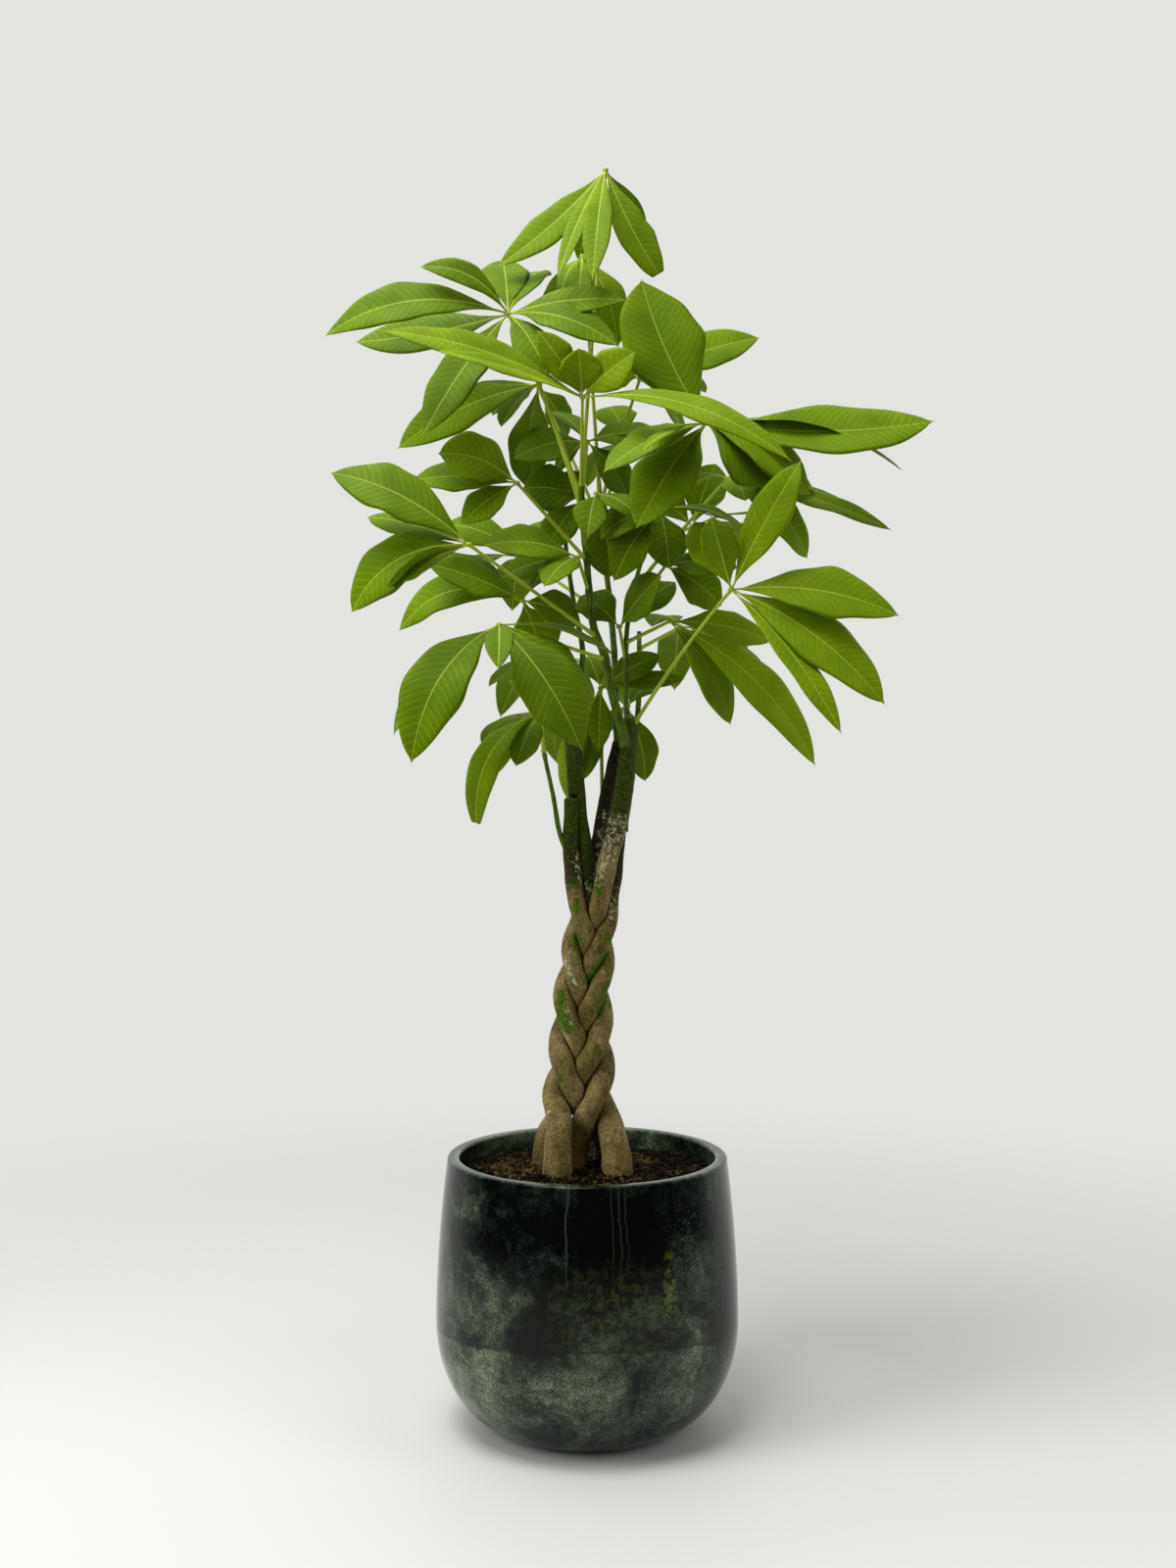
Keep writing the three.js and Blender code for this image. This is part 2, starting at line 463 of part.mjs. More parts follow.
// A leaflet: an arched blade folded a little along its midrib, with waved edges, closed all round. Its
// rows of three points run from a pointed base, just inside the hub's knob, to a pointed tip.
function leafletGeometry(hub, row, order) {
  const [dx, dy, dz, width, bow, lean, sweep = 0, left = 1] = row;
  const chord = new THREE.Vector3(dx, dy, dz);
  const along = chord.clone().normalize();
  const up = new THREE.Vector3(0, -lean, 1);
  up.addScaledVector(along, -up.dot(along)).normalize();
  const side = new THREE.Vector3().crossVectors(along, up);
  const midrib = (t) => hub.clone()
    .addScaledVector(along, BLADE.start * (1 - t))
    .addScaledVector(chord, t)
    .addScaledVector(up, bow * 4 * t * (1 - t))
    .addScaledVector(side, sweep * 4 * t * (1 - t));
  const section = (t, half, wave) => {
    const centre = midrib(t);
    const tangent = midrib(t + 0.02).sub(midrib(t - 0.02)).normalize();
    const normal = up.clone().addScaledVector(tangent, -up.dot(tangent)).normalize();
    const across = new THREE.Vector3().crossVectors(tangent, normal);
    const at = (sign) => centre.clone()
      .addScaledVector(across, sign * half * Math.cos(BLADE.fold))
      .addScaledVector(normal, Math.abs(sign) * half * Math.sin(BLADE.fold) + sign * wave);
    const upper = half > 0 ? [at(-1), at(0), at(1)] : [centre];
    return [upper, upper.map((p) => p.clone().addScaledVector(normal, -BLADE.thickness))];
  };
  const stations = chord.length() > BLADE.longFrom ? BLADE.longStations : BLADE.stations;
  const sections = [
    section(0, 0, 0),
    ...stations.map((t, i) => {
      const half = halfWidth(t * left, width);
      return section(t, half, BLADE.wave * half * Math.sin(i * BLADE.waveTurn + order));
    }),
    section(1, 0, 0),
  ];

  // A point's number, from its section, its place from edge to edge (0 to 2), and its face (1 is lower).
  const number = (i, k, lower) => {
    if (i === 0) return lower;
    const start = 2 + (i - 1) * 6;
    return i > stations.length ? start + lower : start + 3 * lower + k;
  };
  const triangles = [];
  for (let i = 0; i <= stations.length; i++) {
    for (const k of [0, 1]) {
      for (const lower of [0, 1]) {
        const [a, b] = [number(i, k, lower), number(i, k + 1, lower)];
        const [c, d] = [number(i + 1, k + 1, lower), number(i + 1, k, lower)];
        triangles.push(...(lower ? [[a, c, b], [a, d, c]] : [[a, b, c], [a, c, d]]));
      }
    }
    for (const k of [0, 2]) {
      const [a, b] = [number(i, k, 0), number(i + 1, k, 0)];
      const [aLow, bLow] = [number(i, k, 1), number(i + 1, k, 1)];
      triangles.push(...(k ? [[b, a, bLow], [a, aLow, bLow]] : [[a, b, aLow], [b, bLow, aLow]]));
    }
  }
  return solidFrom(sections.flat(2), triangles.filter((corners) => new Set(corners).size === 3));
}

// The stalk runs from inside what carries it to the hub, bent up a little in its middle.
function stalkCurve(leaf) {
  const start = carrierPoint(leaf.on, leaf.from);
  const hub = vec(leaf.hub);
  const middle = start.clone().lerp(hub, 0.5).add(new THREE.Vector3(0, 0, leaf.lift));
  return new THREE.QuadraticBezierCurve3(start, middle, hub);
}

// All of one leaf as a single solid: its leaflets, the knob where they meet, and the stalk.
function leafManifold(leaf, order) {
  const hub = vec(leaf.hub);
  const blades = leaf.leaflets.map((row, k) => leafletGeometry(hub, row, order + k));
  const knob = new THREE.OctahedronGeometry(STALK.knob, 0).translate(hub.x, hub.y, hub.z);
  const stalk = tube(stalkCurve(leaf), STALK.steps, STALK.sides, STALK.foot, STALK.head);
  return [...blades, knob, stalk].map(toManifold).reduce((whole, piece) => whole.add(piece));
}

// Drops the crumbs a cut may leave beside the piece itself.
function largestPiece(manifold) {
  return manifold.decompose().reduce((best, piece) => (piece.volume() > best.volume() ? piece : best));
}

// Takes the room of a carrier, and a seat's gap around it, out of what grows from it.
function seatOn(manifold, carrierName) {
  const index = TRUNKS.findIndex((trunk) => trunk.name === carrierName);
  const cutter = index >= 0
    ? trunkGeometry(index, SEAT_GAP)
    : shootGeometry(SHOOTS.find((shoot) => shoot.name === carrierName), SEAT_GAP);
  return largestPiece(manifold.subtract(toManifold(cutter)));
}

// ---- the whole plant ----------------------------------------------------------------------------

const finish = (color, roughness) => new THREE.MeshStandardMaterial({ color, roughness, metalness: 0 });
const MATERIALS = {
  glaze: finish(0x1c2622, 0.15),
  soil: finish(0x2c2117, 0.95),
  bark: finish(0x6f6747, 0.85),
  shoot: finish(0x3d5512, 0.55),
  leaf: finish(0x557010, 0.4),
};

const plant = new THREE.Group();

function place(name, geometry, material) {
  const mesh = new THREE.Mesh(geometry, material);
  mesh.name = name;
  plant.add(mesh);
}

place("pot", potGeometry(), MATERIALS.glaze);

const filledSoil = TRUNKS.reduce(
  (soil, _, index) => soil.subtract(toManifold(trunkGeometry(index, SEAT_GAP))),
  toManifold(soilGeometry()),
);
place("soil", toGeometry(filledSoil), MATERIALS.soil);

TRUNKS.forEach((trunk, index) => place(trunk.name, trunkGeometry(index), MATERIALS.bark));

SHOOTS.forEach((shoot) => {
  const seated = seatOn(toManifold(shootGeometry(shoot)), shoot.on);
  place(shoot.name, toGeometry(seated), MATERIALS.shoot);
});

LEAVES.forEach((leaf, order) => {
  const seated = seatOn(leafManifold(leaf, order), leaf.on);
  place(leaf.name, toGeometry(seated), MATERIALS.leaf);
});

export default plant;
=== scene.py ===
# The dressed model of a potted money tree.
#
# Five trunks plaited together stand in a dark glazed floor pot. Green shoots grow on their cut tops and
# carry palmate leaves on long stalks. Tables are in millimetres, as in the part's source; every point is
# turned to metres by MM as it becomes a vertex. +Z is up, +X to the right, and -Y to the front.

import logging
import math
import random
from collections.abc import Callable
from dataclasses import dataclass
from enum import Enum
from functools import cached_property, partial

import bmesh
import bpy
from mathutils import Matrix, Vector, noise

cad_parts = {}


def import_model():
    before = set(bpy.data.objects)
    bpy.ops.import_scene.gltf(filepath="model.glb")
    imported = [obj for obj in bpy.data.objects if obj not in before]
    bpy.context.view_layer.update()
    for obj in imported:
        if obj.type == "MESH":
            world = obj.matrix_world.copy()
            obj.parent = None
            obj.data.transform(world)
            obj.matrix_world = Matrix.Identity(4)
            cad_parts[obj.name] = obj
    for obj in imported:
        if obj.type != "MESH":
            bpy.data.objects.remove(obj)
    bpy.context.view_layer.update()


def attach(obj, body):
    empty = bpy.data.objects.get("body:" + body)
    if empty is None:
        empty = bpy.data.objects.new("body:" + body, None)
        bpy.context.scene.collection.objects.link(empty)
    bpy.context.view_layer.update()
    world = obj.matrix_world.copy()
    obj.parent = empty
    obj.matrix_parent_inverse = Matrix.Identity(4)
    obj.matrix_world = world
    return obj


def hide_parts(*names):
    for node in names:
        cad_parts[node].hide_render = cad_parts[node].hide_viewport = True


LOG = logging.getLogger("money_tree")
MM = 0.001
BODY = "root"
UP = Vector((0, 0, 1))

# ---- the plant's tables, in millimetres ---------------------------------------------------------

# Half the weave's breadth and depth, and the plait's sideways lean, by height.
PLAIT_BREADTH = [(300, 27), (350, 24.5), (385, 22), (440, 19.5), (470, 18.5), (505, 17.5), (560, 15)]
PLAIT_DEPTH = [(300, 11.5), (350, 11), (440, 10), (505, 9.5), (560, 9)]
PLAIT_LEAN = [(275, 0), (300, -5), (345, -9), (415, -6), (460, -5), (505, 0), (545, 6)]
TRUNK_GIRTH = [(225, 12), (262, 18), (290, 15.5), (350, 14), (400, 13.3), (450, 12.3), (500, 11.3),
               (550, 10.6), (600, 10)]


class Skin(Enum):
    """The bark on a trunk's upper part."""

    GREEN = "green"
    BROWN = "brown"


@dataclass(frozen=True)
class Trunk:
    """One trunk: its foot, how thick it is there, the height above which it is woven, and its way on top.

    Rows of top are (height, x, y, radius). From the height bare_from up, the bark is skin's.
    """

    name: str
    foot: tuple[float, float]
    thick: float
    woven: float
    skin: Skin
    bare_from: float
    top: list[tuple[float, ...]]


TRUNKS = [
    Trunk("trunk_1", (-12, 8), 0.86, 312, Skin.BROWN, 590,
          [(560, -9, 12, 10), (592, 1, 16, 9), (639, 14, 19, 8), (672, 20, 19, 8), (709, 28, 20, 7.5),
           (742, 35, 22, 6.5)]),
    Trunk("trunk_2", (32, -12), 1.04, 345, Skin.GREEN, 665,
          [(560, 13, -10, 11), (607, 22, -9, 11), (640, 31, -7, 10.6), (693, 41, -5, 10.2),
           (740, 46, -4, 9.4), (766, 49, -4, 7.5)]),
    Trunk("trunk_3", (22, 32), 0.95, 325, Skin.BROWN, 600,
          [(545, 26, 3, 10), (564, 26, 8, 9.6), (586, 29, 12, 9.2), (607, 31, 15, 9), (650, 36, 20, 8)]),
    Trunk("trunk_4", (-32, -27), 0.96, 362, Skin.GREEN, 600,
          [(564, 1, 4, 10), (586, 1, 3, 10), (618, -3, 2, 9.8), (661, -10, 2, 9.6), (704, -13, 3, 9.6),
           (742, -16, 4, 9)]),
    Trunk("trunk_5", (-45, 19), 0.95, 345, Skin.GREEN, 625,
          [(554, -11.5, -8, 10), (586, -15, -7, 9.4), (629, -18.5, -6, 8.8), (678, -17, -5, 8)]),
]


@dataclass(frozen=True)
class Shoot:
    """A green shoot: the trunk it grows on, its radius at both ends, and the way it takes."""

    name: str
    on: str
    radius: tuple[float, float]
    path: list[tuple[float, float, float]]


SHOOTS = [
    Shoot("shoot_main", "trunk_2", (5.4, 3), [
        (42, -8, 736), (35, -19, 762), (25, -23, 800), (18, -25, 834), (8, -26, 858), (3, -26, 890),
        (0, -27, 930), (-4, -28, 968), (-7, -30, 1018)]),
    Shoot("shoot_right", "trunk_2", (3.4, 2.2), [
        (45, -3, 752), (43, 7, 778), (43, 5, 812), (43, 0, 855), (51, 0, 905), (66, 6, 962)]),
    Shoot("shoot_left", "trunk_4", (4.2, 2.4), [
        (-15, 4, 734), (-15, 8, 762), (-11, 8, 800), (-5, 12, 836), (-16, 22, 900), (-26, 26, 975)]),
    Shoot("shoot_back", "trunk_1", (4.4, 2.8), [
        (35, 22, 734), (32, 29, 770), (31, 48, 830), (26, 70, 900), (18, 88, 970), (14, 96, 1035)]),
    Shoot("shoot_rear", "trunk_3", (4, 2.6), [
        (40, 20, 642), (47, 34, 680), (54, 58, 740), (60, 84, 810), (60, 100, 870)]),
    Shoot("shoot_twig", "trunk_5", (3, 2), [
        (-20, -6, 614), (-30, -10, 640), (-37, -13, 680), (-43, -17, 708), (-48, -20, 732)]),
]


@dataclass(frozen=True)
class Leaf:
    """A palmate leaf: what carries its stalk and at what height, the stalk's bend, the hub and the leaflets.

    A leaflet is (x, y, z of its tip from the hub, width, bow of its midrib, lean of its face to the front,
    sideways sweep, share of its length that is left). age runs from 0, dark, to 1, bright: it is
    the leaf's age and also painted light, dark for leaves shaded deep in the crown and bright for lit ones
    at the top. shaded lists the leaflets painted darker than the leaf as painted shade, and dried those with
    a dry tip.
    """

    name: str
    on: str
    start: float
    lift: float
    hub: tuple[float, float, float]
    age: float
    leaflets: list[tuple[float, ...]]
    shaded: tuple[int, ...] = ()
    dried: tuple[int, ...] = ()


LEAVES = [Leaf(f"leaf_{number:02d}", *row) for number, row in enumerate([
    ("shoot_main", 1010, 10, (20, 10, 1370), 0.52, [
        (58, -10, -118, 44, 5, 1.5, 6, 0.9), (-15, -88, -152, 32, 10, 0.6),
        (-120, -14, -112, 42, 2, 1.6, -9), (-52, -85, -148, 22, 8, 0.4), (-30, 90, -75, 34, 12, 0),
        (45, 70, -70, 34, 12, 0)], (), (0,)),
    ("shoot_back", 1025, 10, (-5, 70, 1295), 0.6, [
        (-25, -30, -55, 24, 8, 0.2), (-5, -70, -90, 28, 8, 0.4), (40, -10, -110, 46, 22, 0.9),
        (-40, 60, -65, 40, 14, 0), (10, 110, -50, 40, 14, 0)]),
    ("shoot_main", 1002, 10, (-85, -30, 1200), 0.22, [
        (-95, -30, 40, 34, 15, 1.5, 8), (-12, 100, 90, 54, 10, 0), (35, 90, 75, 54, 10, 0),
        (130, -20, 8, 44, 8, 1.3), (120, -40, -48, 50, 16, 1.2), (45, -38, -80, 44, 10, 1),
        (-200, -10, -30, 58, 32, 1.3), (-88, -60, -148, 54, 10, 1), (-172, 25, -24, 58, -6, 1.3)], (7,)),
    ("shoot_main", 1012, 0, (-5, -70, 1100), 0.66, [
        (-208, -56, 54, 46, 16, 1.1), (-150, -90, 25, 38, 6, 0.9), (-48, -20, 66, 38, 6, 3),
        (-4, -25, 46, 46, 4, 3), (56, -30, 40, 46, 6, 3), (215, -75, -86, 44, 30, 1)]),
    ("shoot_right", 957, 10, (125, -60, 1075), 0.4, [
        (-68, 10, 158, 90, 6, 1.6, -10), (247, 0, 3, 78, -6, 1.5, 8), (220, 40, -45, 50, 24, 0.3),
        (115, 20, -75, 74, 18, 1.2), (88, 8, -62, 82, 8, 2.2), (-110, -60, -65, 54, 12, 0.9),
        (-70, -100, -50, 26, 8, 0.2), (-75, -40, -120, 72, 10, 1.1)], (5, 6, 7)),
    ("shoot_back", 1015, 5, (60, 70, 1155), 0.6, [
        (140, 10, 50, 54, 9, 1.6), (25, 30, 105, 46, 8, 0.6), (-48, -14, 8, 56, 6, 1.8),
        (50, 20, -75, 44, 14, 0.4), (85, 110, 10, 44, 12, 0.2)], (2,)),
    ("shoot_main", 985, 5, (-52, -15, 1128), 0.48, [
        (-156, -5, -74, 62, 8, 1.4, 8), (-6, 90, -105, 62, 12, 0.8), (-45, 60, -35, 36, 8, 0.5)], (1,)),
    ("shoot_main", 995, 0, (0, 30, 1075), 0.3, [
        (-82, -30, -26, 54, 10, 1.5), (66, 10, 4, 50, 10, 1.4), (95, 30, 15, 44, 10, 0.6),
        (-45, 70, 50, 40, 8, 0.2), (-38, 25, -32, 42, 6, 1), (46, 10, -62, 52, 8, 0.9)]),
    ("shoot_back", 1000, 0, (45, 120, 1095), 0.5, [
        (75, 60, 25, 44, 10, 0.2), (-20, 50, 52, 50, 10, 1.1), (-45, 60, -45, 44, 16, 0.2)]),
    ("shoot_main", 935, 0, (-75, -42, 1015), 0.5, [
        (-84, -25, 26, 64, 6, 2.4, 8), (-114, -10, 0, 50, 8, 1.3), (-60, -5, -46, 42, 6, 1.3)], (0,), (0,)),
    ("shoot_left", 968, 0, (-5, 26, 1010), 0.1, [
        (-68, -16, 8, 62, 10, 1.8), (-40, -10, -60, 52, 8, 1), (40, 45, -30, 46, 8, 0.5),
        (-26, -4, 28, 40, 4, 1.5)]),
    ("shoot_main", 955, 0, (10, -35, 1005), 0.15, [
        (46, -40, -35, 38, 8, 0.8), (-10, -40, -55, 38, 10, 0.8), (14, 34, -88, 54, 10, 0.8)]),
    ("shoot_main", 900, 0, (-10, -45, 935), 0.42, [
        (-100, -40, 6, 58, 12, 1.1), (-82, 6, -22, 50, 8, 1.1), (-35, -60, -40, 40, 8, 0.8)]),
    ("shoot_right", 905, 6, (155, 10, 1030), 0.55, [
        (180, -20, -62, 40, 9, 0.9), (135, 30, -20, 26, 8, 0.2), (92, 30, -86, 50, 26, 2),
        (15, -50, -35, 40, 8, 0.7), (95, -10, -15, 58, 14, 1.1), (-40, 40, -5, 36, 10, 0.2)]),
    ("shoot_right", 938, 0, (78, -40, 988), 0.1, [
        (95, 0, -25, 32, 12, 0.5), (60, 20, -6, 40, 4, 0.4), (-65, -10, -35, 54, 10, 1),
        (-50, -5, -80, 48, 10, 1), (10, 0, -66, 48, 8, 1.2)]),
    ("shoot_main", 852, 0, (-120, -135, 935), 0.25, [
        (-143, 0, 73, 66, 16, 1.3, 3), (-120, 0, -72, 64, 24, 1.4, 10), (-110, 40, 35, 48, 6, 1.1),
        (-80, -40, -50, 34, 6, -0.6)]),
    ("shoot_left", 815, 0, (-70, -38, 890), 0.42, [
        (-100, -30, 35, 52, 6, 1.3), (-135, 10, -35, 54, 30, 1.2, 10), (-100, 20, 55, 40, 10, 0.5),
        (22, 14, -62, 58, 8, 1.4), (62, 26, -22, 52, 8, 1.8), (50, 20, 45, 40, 8, 0.3)]),
    ("shoot_main", 828, 0, (-90, -120, 855), 0.14, [
        (-85, -50, -146, 70, 33, 1, 7), (-110, 10, -116, 40, 24, 0.6), (5, -110, -55, 30, 10, -0.8),
        (85, -20, -130, 68, 20, 1.1), (120, 40, -30, 40, 14, 0), (95, 20, -90, 58, 16, 0.8)]),
    ("shoot_twig", 728, 0, (-50, -50, 770), 0.45, [
        (-67, -20, -118, 40, 36, 0.8, 5, 0.92), (-25, -30, -60, 38, 8, 1), (-30, 50, 40, 34, 8, 0.4),
        (15, 35, -30, 32, 10, 0.4)]),
    ("shoot_right", 880, 0, (85, -20, 930), 0.3, [
        (78, -20, -6, 48, 8, 1.3), (62, 10, -44, 58, 8, 1.8), (45, 75, 20, 40, 8, 0.3)]),
    ("shoot_right", 825, 0, (35, -5, 865), 0.2, [
        (45, -50, 50, 56, 4, 1.4), (65, 40, 55, 44, 6, 0.8), (-44, 20, 36, 52, 8, 1.6)], (0,)),
    ("trunk_2", 752, 12, (150, -90, 895), 0.64, [
        (-25, -40, 70, 40, 6, -1.2), (70, -30, 130, 52, 6, 1.1), (174, -20, -31, 68, 18, 1.2),
        (155, -40, -125, 70, 20, 1), (104, -80, -157, 38, 16, 0.8), (-35, 50, 80, 54, 8, 1.2)]),
    ("shoot_right", 848, 0, (90, -15, 870), 0.8, [
        (161, 10, -161, 58, 28, 0.9), (68, 20, -114, 50, 16, 0.9), (115, 30, -20, 48, 10, 1.4)]),
    ("trunk_1", 655, 0, (15, 24, 800), 0.42, [
        (-15, 50, 40, 30, 4, 0.8), (95, 4, 10, 26, 6, 1.5), (68, 8, 38, 36, 6, 1.5),
        (-20, 10, -105, 38, 10, 0.7), (-2, -22, -72, 28, 8, 0.5), (-35, 46, -130, 42, 20, 0.7)]),
    ("shoot_rear", 700, 0, (45, 35, 780), 0.3, [
        (20, 10, -85, 40, 14, 0.8), (-30, 60, -40, 36, 12, 0.3), (35, 60, 25, 36, 8, 0.3)]),
    ("shoot_back", 990, 10, (-60, 140, 1165), 0.3, [
        (-110, 60, -20, 48, 16, 0), (-60, 120, -10, 50, 18, 0), (34, 40, -58, 54, 10, 1.1),
        (80, 90, 30, 46, 12, 0)]),
    ("shoot_back", 940, 0, (125, 150, 1000), 0.35, [
        (120, 40, 10, 46, 14, 0), (90, 110, -20, 50, 18, 0), (30, 20, 80, 56, 8, 1.3),
        (-60, 30, 46, 54, 10, 1.2)]),
    ("shoot_back", 880, 0, (-75, 130, 960), 0.3, [
        (-100, 10, 40, 52, 14, 0.9), (-100, 90, -30, 50, 20, 0), (-20, 140, -50, 52, 22, 0),
        (50, 60, 52, 50, 10, 0.9)]),
    ("shoot_rear", 850, 0, (110, 140, 880), 0.35, [
        (110, 40, -60, 48, 18, 0.2), (90, 110, -60, 52, 24, 0), (0, 130, -70, 50, 22, 0),
        (-30, 110, 10, 44, 14, 0)]),
    ("shoot_rear", 820, 0, (-30, 150, 845), 0.35, [
        (-92, 50, -34, 44, 14, 0), (-80, 110, -70, 52, 26, 0), (20, 120, -90, 50, 24, 0),
        (80, 70, -60, 44, 18, 0)]),
    ("shoot_twig", 722, 0, (-55, 60, 775), 0.4, [
        (-70, 62, -36, 40, 12, 0.2), (-50, 100, -70, 44, 24, 0), (20, 110, -60, 42, 20, 0)]),
], 1)]


# ---- helpers ------------------------------------------------------------------------------------


def smoothstep(value: float, low: float, high: float) -> float:
    """Hermite step of value between low and high."""
    t = min(1.0, max(0.0, (value - low) / (high - low)))
    return t * t * (3 - 2 * t)


def lerp(a: float, b: float, t: float) -> float:
    """Straight blend from a to b."""
    return a + (b - a) * t


def read_table(rows: list[tuple[float, ...]], height: float, ease: float = 0.35) -> list[float]:
    """Reads a height from a short table.

    Args:
        rows: rows of (height, value, ...), lowest first.
        height: where to read.
        ease: the share by which the way from row to row is eased instead of straight.

    Returns:
        The values there.
    """
    if height <= rows[0][0]:
        return list(rows[0][1:])
    if height >= rows[-1][0]:
        return list(rows[-1][1:])
    above = next(row for row in rows if row[0] > height)
    below = rows[rows.index(above) - 1]
    straight = (height - below[0]) / (above[0] - below[0])
    t = smoothstep(height, below[0], above[0]) * ease + straight * (1 - ease)
    return [lerp(a, b, t) for a, b in zip(below[1:], above[1:])]


def linear(code: str) -> tuple[float, float, float, float]:
    """Turns an sRGB hex value into a linear colour."""
    channels = [int(code[k:k + 2], 16) / 255 for k in (1, 3, 5)]
    return (*(c / 12.92 if c <= 0.04045 else ((c + 0.055) / 1.055) ** 2.4 for c in channels), 1.0)


def add_node(tree: bpy.types.NodeTree, kind: str, inputs: list | dict = (), stops: list = (),
             **settings: object) -> bpy.types.Node:
    """Adds a node with its settings and links; a Mix node mixes colours.

    Args:
        tree: the material's node tree.
        kind: the node's type, without the leading "ShaderNode", and its operation after a dot.
        inputs: values in the order of the sockets, or by socket name or number. A value is a number, a
            vector, a hex colour, an output socket, or a node that stands for its first open output.
        stops: a colour ramp's (place, hex) pairs.
        settings: the node's own properties.

    Returns:
        The new node.
    """
    kind, _, operation = kind.partition(".")
    node = tree.nodes.new("ShaderNode" + kind)
    if kind == "Mix":
        node.data_type = "RGBA"
    if operation:
        node.operation = operation
    for name, value in settings.items():
        setattr(node, name, value)
    for key, value in inputs.items() if isinstance(inputs, dict) else enumerate(inputs):
        if isinstance(value, bpy.types.Node):
            value = next(output for output in value.outputs if output.enabled)
        if isinstance(value, bpy.types.NodeSocket):
            tree.links.new(value, node.inputs[key])
        else:
            node.inputs[key].default_value = linear(value) if isinstance(value, str) else value
    for k, (place, code) in enumerate(stops):
        ramp = node.color_ramp.elements
        element = ramp[k] if k < len(ramp) else ramp.new(1.0)
        element.position, element.color = place, linear(code)
    return node


def put_in_scene(name: str, data: bpy.types.ID) -> bpy.types.Object:
    """Makes an object of some data at the origin.

    Args:
        name: the object's name.
        data: its mesh, light or camera.

    Returns:
        The object.
    """
    placed = bpy.data.objects.new(name, data)
    bpy.context.scene.collection.objects.link(placed)
    return placed


def mesh_object(name: str, bm: bmesh.types.BMesh, material: bpy.types.Material) -> bpy.types.Object:
    """Turns a bmesh into an object.

    Args:
        name: the object's name.
        bm: the bmesh, in metres; it is freed.
        material: its finish.

    Returns:
        The object.
    """
    mesh = bpy.data.meshes.new(name)
    bm.to_mesh(mesh)
    bm.free()
    mesh.materials.append(material)
    return put_in_scene(name, mesh)


def finish_piece(name: str, bm: bmesh.types.BMesh, material: bpy.types.Material, slot: str,
                 *nodes: str) -> bpy.types.Object:
    """Turns a bmesh into a smooth piece that stands for CAD nodes, with its faces outwards.

    Args:
        name: the piece's name.
        bm: the bmesh, in metres; it is freed.
        material: the piece's finish.
        slot: the record's material slot; it is not used.
        nodes: the CAD nodes that the piece stands for.

    Returns:
        The piece.
    """
    bmesh.ops.recalc_face_normals(bm, faces=bm.faces[:])
    piece = mesh_object(name, bm, material)
    piece.data.shade_smooth()
    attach(piece, BODY)
    if nodes:
        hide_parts(*nodes)
    LOG.info("%s: %d faces", name, len(piece.data.polygons))
    return piece


def wrap_tube(bm: bmesh.types.BMesh, rings: int, sides: int, place: Callable[[float, float], Vector],
              mark: Callable[[bmesh.types.BMVert, float, float], None] | None = None) -> None:
    """Wraps a flat grid into a closed tube.

    Args:
        bm: the bmesh that gets the tube.
        rings: steps along the tube.
        sides: steps round it.
        place: function of (share of length, angle) that gives a point in millimetres.
        mark: function of (vertex, share of length, angle) that writes the vertex's layers.
    """
    made = bmesh.ops.create_grid(bm, x_segments=sides, y_segments=rings, size=1.0)["verts"]
    for vert in made:
        along = (vert.co.y + 1) / 2
        angle = (vert.co.x + 1) * math.pi
        vert.co = place(along, angle) * MM
        if mark:
            mark(vert, along, angle)
    bmesh.ops.remove_doubles(bm, verts=made, dist=2e-6)
    kept = (vert for vert in made if vert.is_valid)
    rims = list({edge for vert in kept for edge in vert.link_edges if edge.is_boundary})
    bmesh.ops.holes_fill(bm, edges=rims, sides=0)


def quadratic(start: Vector, bend: Vector, end: Vector, t: float) -> Vector:
    """A point of a quadratic curve through two ends with one bend."""
    return start * (1 - t) ** 2 + bend * 2 * t * (1 - t) + end * t * t


def centripetal(points: list[Vector], share: float) -> Vector:
    """A point of a centripetal Catmull-Rom curve.

    Args:
        points: the curve's points.
        share: 0 at the first point and 1 at the last, in equal steps from point to point.

    Returns:
        The point there.
    """
    spans = len(points) - 1
    at = min(share * spans, spans - 1e-9)
    i = int(at)
    t = at - i
    p1, p2 = points[i], points[i + 1]
    p0 = points[i - 1] if i > 0 else p1 * 2 - p2
    p3 = points[i + 2] if i + 2 <= spans else p2 * 2 - p1
    d0, d1, d2 = (math.sqrt((b - a).length) for a, b in ((p0, p1), (p1, p2), (p2, p3)))
    m1 = ((p1 - p0) / d0 - (p2 - p0) / (d0 + d1) + (p2 - p1) / d1) * d1
    m2 = ((p2 - p1) / d1 - (p3 - p1) / (d1 + d2) + (p3 - p2) / d2) * d1
    return p1 + m1 * t + (p1 * -3 + p2 * 3 - m1 * 2 - m2) * t ** 2 + (p1 * 2 - p2 * 2 + m1 + m2) * t ** 3


def round_section(centre: Vector, tangent: Vector, radius: float, angle: float) -> Vector:
    """A point on the circle round a curve, square to its tangent.

    Args:
        centre: the circle's middle.
        tangent: the curve's direction there.
        radius: the circle's radius.
        angle: the way round it.

    Returns:
        The point.
    """
    across = tangent.cross(Vector((0.31, -0.95, 0.05))).normalized()
    other = tangent.cross(across).normalized()
    return centre + (across * math.cos(angle) + other * math.sin(angle)) * radius


# ---- finishes -----------------------------------------------------------------------------------


